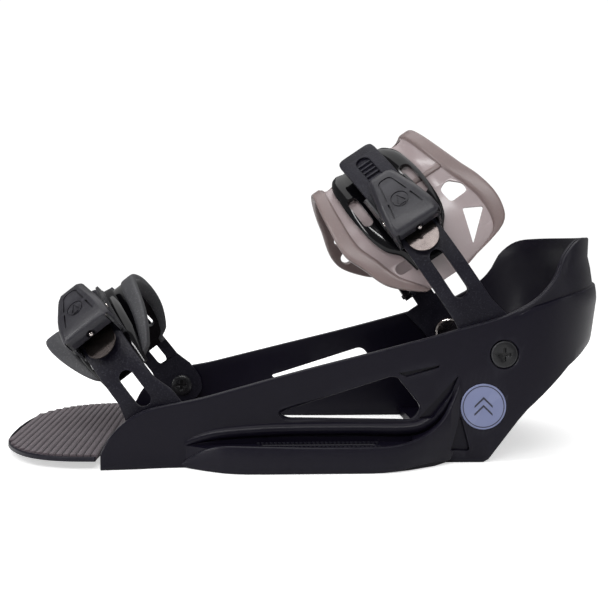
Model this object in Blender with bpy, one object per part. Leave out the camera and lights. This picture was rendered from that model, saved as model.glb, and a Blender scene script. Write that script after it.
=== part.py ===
"""An open-chassis snow and wake binding with an ankle strap and a toe strap.

Axes: +X towards the heel, -Y the lateral side with the buckles, +Z up from the board.
Sizes below are in millimetres; every mesh is made in metres.
"""

import math

import bmesh
import bpy
from mathutils import Matrix, Vector

MM = 0.001

# Plan of the chassis
TOE_TIP_X = -164.0
RAIL_FRONT_X = -106.0
HEEL_START_X = 104.0
HEEL_REACH = 58.0
HEEL_RIM_PULL = 5.0
HEEL_FOOT_PULL = 4.0
HEEL_BULGE_Z = 82.0
WALL = 4.2
# Furthest point of the heel shell, and the middle of the length, where the origin is
HEEL_BACK_X = 161.3
LENGTH_CENTRE_X = (TOE_TIP_X + HEEL_BACK_X) / 2

RAIL_HALF_WIDTH = [
    (RAIL_FRONT_X, 77.0), (-90, 75.5), (-76, 73.5), (-60, 72.4), (-50, 71.6),
    (-36, 70.2), (-20, 68.4), (0, 67.0), (20, 66.5), (60, 66.7), (104, 67.1),
]
RAIL_TOP = [
    (RAIL_FRONT_X, 8.4), (-102.6, 14.7), (-97.3, 20.8), (-90.7, 25.8), (-83.4, 29.1), (-73.8, 31.2),
    (-58.3, 34.1), (-42.5, 38.1), (-8, 47.0), (34, 57.5), (71, 67.4), (95, 74.4),
    (110, 82.3), (121, 92.6), (128.5, 104.5), (137, 112.0), (147, 114.0), (165, 114.0),
]
UNDERSIDE = [(RAIL_FRONT_X, 0.0), (86, 0.0), (105, 25.0), (131, 47.5), (155, 60.5), (165, 65.0)]

# Side flanges with the board bolt slots
FLANGE_HALF_WIDTH = 88.0
FLANGE_TOP = 14.0
FLANGE_PLAN = [
    (-68, 71), (-58, 79), (-48, 85), (-39, FLANGE_HALF_WIDTH), (35, FLANGE_HALF_WIDTH),
    (42, 85), (50, 78), (60, 66),
]
POCKET_FLOOR = 11.5
SLOT_CENTRE_Y = 76.2
SLOT_HALF_LENGTH = 29.0
SLOT_HALF_WIDTH = 3.4

# Side window and the sculpted grooves of each rail, as X and Z
WINDOW = [(-19, 26.0), (39.6, 44.6), (53, 28.0), (49, 21.4), (-15, 23.0)]
SLIT = [(43, 45.2), (61, 49.0), (60, 47.4), (46, 43.4)]
BRACE_SLIT = [(54, 23.0), (69, 40.5), (67, 34.0), (57, 23.5)]
POCKET = [(62.5, 7.0), (75.5, 6.0), (69, 25.5)]
GROOVE_FLOOR_Y = 65.0
BADGE_AT = (84.0, 28.5)
BADGE_RADIUS = 11.6
BADGE_FLOOR_Y = 66.2
BADGE_THICKNESS = 0.8

# Ramp under the toes
PAD_TOP = 7.2
TRAY_TOP = 4.6
BRIDGE_TOP = 2.4
RAMP_PLAN = [
    (TOE_TIP_X, 0), (-163, 20), (-160, 38), (-154, 52), (-145, 64), (-134, 71.5), (-122, 75),
    (-109, 76), (-108.2, 75), (-107.6, 65.5), (-104, 63.6), (-52, 62.0),
]
PAD_GAP = 0.3
GROOVE_PITCH = 7.0
GROOVE_WIDTH = 2.6
GROOVE_DEPTH = 1.1

# Straps: where each side pivot is, how far the strap leans forward, and its arch
ANKLE = dict(
    name="ankle", pivot=(94.5, 54.8), lean=34.0, side=61.2, centre=(59.0, 34.0), buckle_angle=27.0,
    tip_angle=50.0, arch=dict(y0=1.5, half=50.5, foot=35.0, rise=84.0, near=1.8, far=2.1),
    slot=(35.0, 63.0),
)
TOE = dict(
    name="toe", pivot=(-76.0, 20.0), lean=38.0, side=66.2, centre=(0.0, 18.0), buckle_angle=44.0,
    tip_angle=60.0, arch=dict(y0=0.0, half=57.0, foot=16.0, rise=54.5, near=2.0, far=2.0),
    slot=(13.0, 34.0),
)
LADDER_HALF_WIDTH = 11.0
LADDER_BASE_HALF_WIDTH = 14.0
LADDER_TAPER_END = dict(ankle=26.0, toe=22.0)
LADDER_THICKNESS = 2.6
TOOTH_PITCH = 3.0
TOOTH_DEPTH = 1.0
TRACK_HALF_WIDTH = 3.9
PIVOT_SCREW_RADIUS = 4.0
PIVOT_BORE_RADIUS = 4.4
PIVOT_SEAT_RADIUS = 7.3
TOE_SCREW_RADIUS = 3.1
TOE_BORE_RADIUS = 3.4

# Buckle: X across the ladder, -Y away from the foot, +Z up the ladder
BUCKLE_FLOOR_GAP = 0.7
BUCKLE_FLOOR = 1.5
EAR_INSIDE = 11.5
EAR_OUTSIDE = 12.7
LEVER_HALF_WIDTH = 11.0
LEVER_PIN_AT = (9.8, -13.0)
RELEASE_PIN_AT = (4.6, -3.5)
RELEASE_HALF_WIDTH = 8.6
PIN_RADIUS = 1.4
PIN_BORE_RADIUS = 1.75
LATCH_PIN_RADIUS = 1.0
LATCH_BORE_RADIUS = 1.3
RIVET_RADIUS = 2.2
RIVET_BORE_RADIUS = 2.5
# How far the thick rims of the ankle pad and toe cap stand out of their middle surface
RIM_OUTSIDE = 1.7
RIM_INSIDE = 2.6
WEB_OUTSIDE = 0.8
WEB_INSIDE = 1.4
CARRIER_GAP = 0.35
CARRIER_THICKNESS = 2.8


def lerp(table, x):
    """Value of a list of (x, value) pairs at x."""
    if x <= table[0][0]:
        return table[0][1]
    for (x0, v0), (x1, v1) in zip(table, table[1:]):
        if x <= x1:
            return v0 + (v1 - v0) * (x - x0) / (x1 - x0)
    return table[-1][1]


def smooth(table, x):
    """Value at x of a smooth curve through a list of (x, value) pairs."""
    n = len(table)
    if x <= table[0][0]:
        return table[0][1]
    if x >= table[-1][0]:
        return table[-1][1]
    slopes = []
    for i in range(n):
        a, b = table[max(i - 1, 0)], table[min(i + 1, n - 1)]
        slopes.append((b[1] - a[1]) / (b[0] - a[0]))
    for i in range(n - 1):
        (x0, v0), (x1, v1) = table[i], table[i + 1]
        if x <= x1:
            h = x1 - x0
            t = (x - x0) / h
            rise = v0 * (2 * t**3 - 3 * t**2 + 1) + v1 * (3 * t**2 - 2 * t**3)
            return rise + h * (slopes[i] * (t**3 - 2 * t**2 + t) + slopes[i + 1] * (t**3 - t**2))
    return table[-1][1]


# Outlines


def arc(centre, radius, start, end, steps):
    """Points on an arc, angles in degrees."""
    points = []
    for i in range(steps + 1):
        angle = math.radians(start + (end - start) * i / steps)
        points.append((centre[0] + radius * math.cos(angle), centre[1] + radius * math.sin(angle)))
    return points


def circle(centre, radius, sides=24):
    return arc(centre, radius, 0, 360, sides)[:-1]


def stadium(centre, half_length, half_width, steps=6, upright=False):
    """A slot with round ends, along the first axis, or along the second when upright."""
    reach = half_length - half_width
    points = arc((reach, 0), half_width, -90, 90, steps) + arc((-reach, 0), half_width, 90, 270, steps)
    if upright:
        points = [(-b, a) for a, b in points]
    return [(centre[0] + a, centre[1] + b) for a, b in points]


def rounded(corners, radius, steps=4):
    """A polygon with each corner turned into an arc-like curve."""
    points = []
    count = len(corners)
    for i, corner in enumerate(corners):
        here = Vector(corner)
        before = Vector(corners[i - 1]) - here
        after = Vector(corners[(i + 1) % count]) - here
        cut = min(radius, before.length * 0.45, after.length * 0.45)
        a = here + before.normalized() * cut
        b = here + after.normalized() * cut
        for k in range(steps + 1):
            t = k / steps
            p = a * (1 - t) ** 2 + here * 2 * t * (1 - t) + b * t**2
            points.append((p.x, p.y))
    return points


def turned_left(outline):
    """The outline with its points in anticlockwise order."""
    area = sum(a[0] * b[1] - b[0] * a[1] for a, b in zip(outline, outline[1:] + outline[:1]))
    return outline if area > 0 else outline[::-1]


# Meshes and objects


def add_object(name, mesh, material=None, parent=None, location=(0, 0, 0)):
    obj = bpy.data.objects.new(name, mesh)
    bpy.context.scene.collection.objects.link(obj)
    if material:
        mesh.materials.append(material)
    if parent:
        obj.parent = parent
    obj.location = Vector(location) * MM
    return obj


def mesh_from(bm, name, sharp=35):
    """Closes a bmesh into a mesh in metres with its faces pointing out."""
    bmesh.ops.remove_doubles(bm, verts=bm.verts, dist=1e-5)
    bmesh.ops.recalc_face_normals(bm, faces=bm.faces)
    if bm.calc_volume(signed=True) < 0:
        bmesh.ops.reverse_faces(bm, faces=bm.faces)
    bmesh.ops.scale(bm, vec=(MM, MM, MM), verts=bm.verts)
    mesh = bpy.data.meshes.new(name)
    bm.to_mesh(mesh)
    bm.free()
    mesh.shade_smooth()
    mesh.set_sharp_from_angle(angle=math.radians(sharp))
    return mesh


def loft(name, rings, sharp=35):
    """A closed solid through rings of equally many points, capped at both ends."""
    bm = bmesh.new()
    loops = [[bm.verts.new(p) for p in ring] for ring in rings]
    count = len(rings[0])
    for first, second in zip(loops, loops[1:]):
        for i in range(count):
            j = (i + 1) % count
            bm.faces.new((first[i], first[j], second[j], second[i]))
    bm.faces.new(loops[0][::-1])
    bm.faces.new(loops[-1])
    return mesh_from(bm, name, sharp)


def extruded(name, outline, axis, low, high, sharp=35):
    """A prism of a flat outline along X, Y or Z."""
    place = {
        "x": lambda a, b, c: (c, a, b),
        "y": lambda a, b, c: (a, c, b),
        "z": lambda a, b, c: (a, b, c),
    }[axis]
    rings = [[place(a, b, level) for a, b in turned_left(outline)] for level in (low, high)]
    return loft(name, rings, sharp)


def turned(name, profile, axis="y", sides=28, sharp=35):
    """A turned solid: profile lists (distance along the axis, radius)."""
    rings = []
    for along, radius in profile:
        ring = []
        for a, b in circle((0, 0), max(radius, 0.02), sides):
            ring.append((a, along, b) if axis == "y" else (along, a, b))
        rings.append(ring)
    return loft(name, rings, sharp)


def empty(name, location, rotation=(0, 0, 0), parent=None):
    obj = bpy.data.objects.new(name, None)
    bpy.context.scene.collection.objects.link(obj)
    obj.parent = parent
    obj.location = Vector(location) * MM
    obj.rotation_euler = [math.radians(angle) for angle in rotation]
    return obj


def combine(target, other, operation):
    """Joins or cuts another object, which stays as a hidden guide."""
    other.hide_render = True
    other.display_type = "WIRE"
    modifier = target.modifiers.new(f"{operation.lower()}_{other.name}", "BOOLEAN")
    modifier.operation = operation
    modifier.solver = "EXACT"
    modifier.object = other


def cut(target, name, mesh, parent=None, location=(0, 0, 0)):
    cutter = add_object(name, mesh, parent=parent or target.parent, location=location)
    combine(target, cutter, "DIFFERENCE")
    return cutter


def join(target, name, mesh, parent=None, location=(0, 0, 0)):
    combine(target, add_object(name, mesh, parent=parent or target.parent, location=location), "UNION")


def finish_of(name, colour, roughness, metallic=0.0):
    material = bpy.data.materials.new(name)
    material.use_nodes = True
    shader = material.node_tree.nodes["Principled BSDF"]
    shader.inputs["Base Color"].default_value = (*colour, 1)
    shader.inputs["Roughness"].default_value = roughness
    shader.inputs["Metallic"].default_value = metallic
    return material


def make_finishes():
    return dict(
        nylon=finish_of("satin_black_nylon", (0.012, 0.012, 0.016), 0.42),
        ladder=finish_of("grained_ladder_nylon", (0.02, 0.02, 0.026), 0.6),
        grip=finish_of("soft_touch_lever", (0.03, 0.03, 0.034), 0.62),
        gloss=finish_of("gloss_black_tpu", (0.008, 0.008, 0.009), 0.16),
        smoke=finish_of("smoky_tpu", (0.2, 0.165, 0.155), 0.36),
        cap=finish_of("grained_grey_tpu", (0.045, 0.045, 0.05), 0.55),
        foam=finish_of("ribbed_pad", (0.1, 0.082, 0.088), 0.8),
        steel=finish_of("polished_steel", (0.62, 0.6, 0.58), 0.14, 1.0),
        black_steel=finish_of("black_steel", (0.02, 0.02, 0.022), 0.35, 0.9),
        copper=finish_of("copper_latch", (0.45, 0.17, 0.05), 0.3, 0.6),
        red=finish_of("red_latch", (0.5, 0.04, 0.03), 0.4),
        badge=finish_of("pale_blue_badge", (0.25, 0.28, 0.45), 0.4),
    )


# Chassis


def rail_plan(x, z):
    """Outer half width of the chassis at x and the heel's reach at height z."""
    if x <= HEEL_START_X:
        return smooth(RAIL_HALF_WIDTH, x)
    reach = heel_reach(z)
    return RAIL_HALF_WIDTH[-1][1] * math.sqrt(max(0.0, 1 - ((x - HEEL_START_X) / reach) ** 2))


def heel_reach(z):
    """How far behind the straight rails the heel shell comes at height z."""
    pull = [(55, HEEL_FOOT_PULL), (HEEL_BULGE_Z, 0), (96, 2.6), (104, HEEL_RIM_PULL)]
    return HEEL_REACH - lerp(pull, z)


def wall_ring(x, angle, side):
    """Section of the wall at x along the rails, or at an angle round the heel."""
    width = RAIL_HALF_WIDTH[-1][1]
    if angle is None:
        plan = Vector((x, smooth(RAIL_HALF_WIDTH, x)))
        ahead = Vector((x + 1, smooth(RAIL_HALF_WIDTH, x + 1)))
        along = (ahead - plan).normalized()
        inward = Vector((along.y, -along.x))
        turn = 0.0
    else:
        turn = math.sin(math.radians(angle))
        flat = math.cos(math.radians(angle))
        plan = Vector((HEEL_START_X + HEEL_REACH * turn, width * flat))
        inward = -Vector((turn / HEEL_REACH, flat / width)).normalized()
    top = smooth(RAIL_TOP, plan.x - HEEL_RIM_PULL * turn)
    low = lerp(UNDERSIDE, plan.x - HEEL_FOOT_PULL * turn)
    levels = [low + (top - low) * part for part in (0, 0.06, 0.3, 0.55, 0.8, 0.95, 1)]
    edge = 0.9
    tuck = [edge, 0, 0, 0, 0, 0, edge]
    outer = []
    for z, inset in zip(levels, tuck):
        pull = (HEEL_REACH - heel_reach(z)) * turn
        spot = plan + inward * inset - Vector((pull, 0))
        outer.append((spot.x, side * spot.y, z))
    inner = []
    for z, inset in zip(levels[::-1], (WALL - edge, WALL, WALL, WALL, WALL, WALL, WALL - 0.5)):
        pull = (HEEL_REACH - heel_reach(z)) * turn
        spot = plan + inward * inset - Vector((pull, 0))
        inner.append((spot.x, side * spot.y, z))
    return outer + inner


def wall_mesh():
    stations = [RAIL_FRONT_X, -104.5, -102, -98.5, -94, -88, -80, -72, -62, -50]
    stations += [-36, -20, 0, 22, 46, 70, 86, 96, 102]
    one_side = [wall_ring(x, None, -1) for x in stations]
    turns = [8, 17, 26, 34, 42, 50, 58, 66, 74, 82]
    one_side += [wall_ring(0, angle, -1) for angle in turns]
    other_side = [[(x, -y, z) for x, y, z in ring] for ring in reversed(one_side)]
    return loft("chassis", one_side + [wall_ring(0, 90, -1)] + other_side, sharp=32)


def heel_floor_mesh():
    """The plate between the rails that slopes up under the heel."""
    rings = []
    for x in (64, 75, 85, 92, 99, 106, 115, 124, 133, 141, 148, 154):
        low = lerp(UNDERSIDE, x)
        half = rail_plan(x, low) - 2.2
        top = low + 4.5
        rings.append([(x, -half, low), (x, half, low), (x, half, top), (x, -half, top)])
    return loft("heel_floor", rings)


def flange_mesh(side):
    """A side flange, from inside the rail to its outer face."""
    outline = [(x, side * y) for x, y in FLANGE_PLAN] + [(60, side * 64), (-68, side * 69)]
    return extruded("flange", outline, "z", 0, FLANGE_TOP)


def pocket_mesh(side):
    outer = [(-56, 74.6), (-48, 81), (-38, 85.2), (34, 85.2), (41, 82), (50, 73)]
    outline = outer + [(49, 69), (0, 69.2), (-34, 71.6)]
    points = rounded([(x, side * y) for x, y in outline], 4, 3)
    return extruded("pocket", points, "z", POCKET_FLOOR, FLANGE_TOP + 3)


def brace_mesh(side):
    """The rib that sweeps from the flange up the rail, fading into it."""
    path = [(30, 7.0, 84.0), (44, 9.5, 80.5), (54, 16.0, 74.5)]
    path += [(61, 25.0, 70.6), (66, 35.0, 68.2), (69, 42, 67.0)]
    rings = []
    for i, (x, z, y) in enumerate(path):
        half = 6.8 - 1.1 * i
        lean = min(1.0, i / 3)
        across = Vector((-math.sin(lean), 0, math.cos(lean))) * half
        top = Vector((x, side * y, z)) + across
        low = Vector((x, side * y, z)) - across
        root = side * 65.0
        rings.append([low, top, Vector((top.x, root, top.z)), Vector((low.x, root, low.z))])
    return loft("brace", rings)


def make_chassis(finishes, stand):
    chassis = add_object("chassis", wall_mesh(), finishes["nylon"], stand)
    join(chassis, "heel_floor_guide", heel_floor_mesh())
    bridge = [(-104.5, 72), (-90, 73), (-50, 69.5)]
    outline = bridge + [(x, -y) for x, y in reversed(bridge)]
    join(chassis, "toe_bridge_guide", extruded("toe_bridge", outline, "z", 0, BRIDGE_TOP))
    for side, label in ((-1, "lateral"), (1, "medial")):
        join(chassis, f"{label}_flange_guide", flange_mesh(side))
        join(chassis, f"{label}_brace_guide", brace_mesh(side))
        cut(chassis, f"{label}_pocket_cutter", pocket_mesh(side))
        slot = stadium((0, side * SLOT_CENTRE_Y), SLOT_HALF_LENGTH, SLOT_HALF_WIDTH)
        cut(chassis, f"{label}_slot_cutter", extruded("slot", slot, "z", -2, FLANGE_TOP))
        side_cuts = (
            ("window", rounded(WINDOW, 4), 60.0, 71.6),
            ("slit_groove", rounded(SLIT, 1.2, 2), GROOVE_FLOOR_Y, 80.0),
            ("brace_slit_groove", rounded(BRACE_SLIT, 1.2, 2), GROOVE_FLOOR_Y, 80.0),
            ("pocket_groove", rounded(POCKET, 2.4, 2), GROOVE_FLOOR_Y, 80.0),
            ("badge", circle(BADGE_AT, BADGE_RADIUS + 0.3, 40), BADGE_FLOOR_Y, 80.0),
        )
        for name, shape, near, far in side_cuts:
            low, high = sorted((side * near, side * far))
            cut(chassis, f"{label}_{name}_cutter", extruded(name, shape, "y", low, high))
        wide, narrow = PIVOT_SEAT_RADIUS, PIVOT_BORE_RADIUS
        seat = turned("pivot_bore", [(58, narrow), (64.6, narrow), (64.601, wide), (80, wide)])
        blind = turned("toe_bore", [(60, TOE_BORE_RADIUS), (71.4, TOE_BORE_RADIUS)], sides=20)
        for name, mesh, (x, z) in (("ankle", seat, ANKLE["pivot"]), ("toe", blind, TOE["pivot"])):
            cutter = cut(chassis, f"{label}_{name}_bore_cutter", mesh, location=(x, 0, z))
            cutter.rotation_euler = (0, 0, 0 if side > 0 else math.pi)


def make_ramp(finishes, stand):
    outline = RAMP_PLAN + [(x, -y) for x, y in reversed(RAMP_PLAN[1:])]
    inner = [(x + 0.8 if y else x + 1.2, y * 0.985) for x, y in outline]
    tray = extruded("toe_ramp", outline, "z", BRIDGE_TOP + PAD_GAP, TRAY_TOP)
    ramp = add_object("toe_ramp", tray, finishes["nylon"], stand)
    foot = [(-160, 0), (-156, 36), (-146, 58), (-130, 69), (-109, 72), (-107.5, 60)]
    outline_foot = foot + [(x, -y) for x, y in reversed(foot[1:])]
    rings = []
    for z, grow in ((0.6, 0.93), (BRIDGE_TOP + 1, 1.0)):
        rings.append([(-107.5 + (x + 107.5) * grow, y * grow, z) for x, y in turned_left(outline_foot)])
    join(ramp, "toe_ramp_foot_guide", loft("toe_ramp_foot", rings))
    pad = extruded("toe_pad", inner, "z", TRAY_TOP + PAD_GAP, PAD_TOP)
    toe_pad = add_object("toe_pad", pad, finishes["foam"], stand)
    first = TOE_TIP_X + 8
    floor = PAD_TOP - GROOVE_DEPTH
    for i in range(math.ceil((-56 - first) / GROOVE_PITCH)):
        x = first + GROOVE_PITCH * i
        groove = [(x, floor), (x + GROOVE_WIDTH, floor), (x + GROOVE_WIDTH, 12), (x, 12)]
        cut(toe_pad, f"groove_cutter_{i}", extruded("groove", groove, "y", -90, 90))


def make_badges(finishes, stand):
    for side, label in ((-1, "lateral"), (1, "medial")):
        inside = BADGE_FLOOR_Y + 0.3
        low, high = sorted((side * inside, side * (inside + BADGE_THICKNESS)))
        disc = extruded("badge", circle(BADGE_AT, BADGE_RADIUS, 36), "y", low, high)
        add_object(f"badge_{label}", disc, finishes["badge"], stand)


def cross_cutter(size, low, high):
    """A cutter for a cross recess, along Y."""
    half = 0.8
    points = []
    for turn in range(4):
        c, s = math.cos(turn * math.pi / 2), math.sin(turn * math.pi / 2)
        for a, b in ((size, -half), (size, half), (half, half)):
            points.append((a * c - b * s, a * s + b * c))
    return extruded("cross", points, "y", low, high)


def make_ankle_fasteners(finishes, stand):
    """Each ankle pivot: a flush screw from outside and a disc nut inside the strap."""
    x, z = ANKLE["pivot"]
    shank = PIVOT_SCREW_RADIUS
    profile = [(57.2, shank), (65.0, shank), (65.001, 6.6), (66.6, 6.8), (67.0, 6.4)]
    for side, label in ((-1, "lateral"), (1, "medial")):
        axis = empty(f"ankle_{label}_screw_axis", (x, 0, z), (0, 0, 0 if side > 0 else 180), stand)
        screw = turned("screw", profile)
        screw = add_object(f"ankle_screw_{label}", screw, finishes["black_steel"], axis)
        cut(screw, f"ankle_{label}_cross_cutter", cross_cutter(3.4, 65.6, 70), parent=axis)
        nut = turned("nut", [(56.4, 7.6), (57.0, 8.4), (59.0, 8.4)])
        nut = add_object(f"ankle_nut_{label}", nut, finishes["steel"], axis)
        bore = turned("bore", [(50, PIVOT_BORE_RADIUS), (64, PIVOT_BORE_RADIUS)], sides=20)
        cut(nut, f"ankle_nut_{label}_cutter", bore, parent=axis)


def make_toe_fasteners(finishes, stand):
    """Each toe pivot: a low-headed screw from inside into the rail."""
    x, z = TOE["pivot"]
    shank = TOE_SCREW_RADIUS
    profile = [(62.0, 5.4), (62.6, 6.4), (64.2, 6.4), (64.201, shank), (71.0, shank)]
    for side, label in ((-1, "lateral"), (1, "medial")):
        axis = empty(f"toe_{label}_screw_axis", (x, 0, z), (0, 0, 0 if side > 0 else 180), stand)
        screw = add_object(f"toe_screw_{label}", turned("screw", profile), finishes["black_steel"], axis)
        cut(screw, f"toe_{label}_cross_cutter", cross_cutter(3.2, 58, 63.2), parent=axis)


# Straps


class Strap:
    """Shape of one strap in its own frame: X across it, Z up from the side pivots."""

    def __init__(self, plan):
        self.name = plan["name"]
        self.side = plan["side"]
        self.centre = Vector(plan["centre"])
        self.radius = self.centre.x + self.side
        self.buckle_angle = plan["buckle_angle"]
        self.tip_angle = plan["tip_angle"]
        self.slot = plan["slot"]
        self.arch = plan["arch"]
        self.points = self.arch_points()

    def arch_points(self):
        """The arch as evenly spaced (y, z) points from the lateral foot to the medial foot."""
        arch = self.arch
        dense = []
        for i in range(401):
            angle = math.pi * i / 400
            power = 2 / (arch["near"] if i < 200 else arch["far"])
            c, s = math.cos(angle), max(math.sin(angle), 0)
            y = arch["y0"] - arch["half"] * math.copysign(abs(c) ** power, c)
            dense.append(Vector((y, arch["foot"] + arch["rise"] * s**power)))
        lengths = [0.0]
        for a, b in zip(dense, dense[1:]):
            lengths.append(lengths[-1] + (b - a).length)
        self.length = lengths[-1]
        points = []
        k = 0
        for i in range(201):
            want = self.length * i / 200
            while k < len(lengths) - 2 and lengths[k + 1] < want:
                k += 1
            t = (want - lengths[k]) / (lengths[k + 1] - lengths[k])
            points.append(dense[k].lerp(dense[k + 1], t))
        return points

    def on_arch(self, part, offset=0.0):
        """Point and outward direction at a part from 0 to 1 of the arch."""
        at = min(max(part, 0), 1) * 200
        i = min(int(at), 199)
        spot = self.points[i].lerp(self.points[i + 1], at - i)
        low, high = self.points[max(i - 3, 0)], self.points[min(i + 4, 200)]
        along = (high - low).normalized()
        outward = Vector((-along.y, along.x))
        return spot + outward * offset, outward

    def part_at_height(self, height, medial=False):
        """The part of the arch at a height, on the lateral or the medial side."""
        found = [i for i, p in enumerate(self.points) if (i > 100) == medial]
        return min(found, key=lambda i: abs(self.points[i].y - height)) / 200

    def on_ladder(self, angle, outward=0.0):
        """Point (y, z) at an angle up the ladder's curve."""
        turn = math.radians(angle)
        reach = self.radius + outward
        return Vector((self.centre.x - reach * math.cos(turn), self.centre.y + reach * math.sin(turn)))


def band_mesh(strap, name, start, end, front, back, layers, steps=30, sharp=40):
    """A band round the arch. layers lists (share of the width, inner, outer) offsets."""
    rings = []
    for i in range(steps + 1):
        t = i / steps
        part = start + (end - start) * t
        left, right = smooth(front, part), smooth(back, part)
        outer, inner = [], []
        for share, low, high in layers:
            x = left + (right - left) * share
            spot, _ = strap.on_arch(part, high)
            outer.append((x, spot.x, spot.y))
            spot, _ = strap.on_arch(part, low)
            inner.append((x, spot.x, spot.y))
        rings.append(outer + inner[::-1])
    return loft(name, rings, sharp)


def arch_frame(strap, part, x=0.0, offset=0.0):
    """Matrix whose X is across the strap, Y along the arch and Z outward."""
    spot, outward = strap.on_arch(part, offset)
    along = Vector((0, outward.y, -outward.x))
    normal = Vector((0, outward.x, outward.y))
    matrix = Matrix.Identity(4)
    matrix.col[0][:3] = (1, 0, 0)
    matrix.col[1][:3] = along
    matrix.col[2][:3] = normal
    matrix.translation = Vector((x, spot.x, spot.y)) * MM
    return matrix


def cut_on_arch(strap, obj, name, outline, part, x=0.0, depth=9.0):
    """Cuts a hole square to the arch, its outline given across and along the strap."""
    mesh = extruded(name, outline, "z", -depth, depth)
    cutter = add_object(name, mesh, parent=obj.parent)
    frame = arch_frame(strap, part, x)
    cutter.matrix_local = Matrix.Translation(-obj.parent.location) @ frame
    combine(obj, cutter, "DIFFERENCE")


def ladder_mesh(strap):
    """The toothed strap: flat beside the rail, then curved round the strap's arch."""
    half = LADDER_THICKNESS / 2
    start = -10.0
    taper_to = LADDER_TAPER_END[strap.name]
    taper = [(10.0, LADDER_BASE_HALF_WIDTH), (taper_to, LADDER_HALF_WIDTH)]

    def ring(spot, outward, width, dip):
        deep = half - dip
        across = [(-width, half), (-TRACK_HALF_WIDTH, half), (-TRACK_HALF_WIDTH, deep)]
        across += [(TRACK_HALF_WIDTH, deep), (TRACK_HALF_WIDTH, half), (width, half)]
        across += [(width, -half), (-width, -half)]
        return [(x, *(spot + outward * lift)) for x, lift in across]

    flat = 0.02
    rings = []
    for i in range(7):
        z = start + 20.0 * i / 6
        share = math.sqrt(max(0.0, 1 - min(1.0, (z - 2.5) / 12.6) ** 2)) if z < 2.5 else 1.0
        width = max(5.5, LADDER_BASE_HALF_WIDTH * share)
        rings.append(ring(Vector((-strap.side, z)), Vector((-1, 0)), width, flat))
    for z in (14.0, taper_to):
        if z < strap.centre.y:
            rings.append(ring(Vector((-strap.side, z)), Vector((-1, 0)), lerp(taper, z), flat))
    step = math.degrees(TOOTH_PITCH / strap.radius)
    angle = strap.buckle_angle - math.degrees(21.0 / strap.radius)
    last_tooth = strap.tip_angle - math.degrees(7.0 / strap.radius)
    angles = [(0.0, flat), (angle * 0.33, flat), (angle * 0.66, flat)]
    while angle < last_tooth:
        angles += [(angle, TOOTH_DEPTH + 0.3), (angle + step * 0.82, 0.25)]
        angle += step
    angles.append((angle, flat))
    for a, dip in angles:
        turn = math.radians(a)
        z = strap.centre.y + strap.radius * math.sin(turn)
        outward = Vector((-math.cos(turn), math.sin(turn)))
        rings.append(ring(strap.on_ladder(a), outward, lerp(taper, z), dip))
    tip_steps = 4
    for i in range(1, tip_steps + 1):
        a = angle + (strap.tip_angle - angle) * i / tip_steps
        turn = math.radians(a)
        width = LADDER_HALF_WIDTH - 3.6 * (i / tip_steps) ** 2
        outward = Vector((-math.cos(turn), math.sin(turn)))
        rings.append(ring(strap.on_ladder(a), outward, width, flat))
    return loft(f"{strap.name}_ladder", rings, sharp=30)


def arc_plate(strap, name, half_width, low, high, start, end, steps=8):
    """A plate that follows the ladder's curve. Angles are in degrees up the curve."""
    rings = []
    for i in range(steps + 1):
        angle = start + (end - start) * i / steps
        inner, outer = strap.on_ladder(angle, low), strap.on_ladder(angle, high)
        w = half_width
        rings.append([(-w, *inner), (w, *inner), (w, *outer), (-w, *outer)])
    return loft(name, rings)


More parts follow.
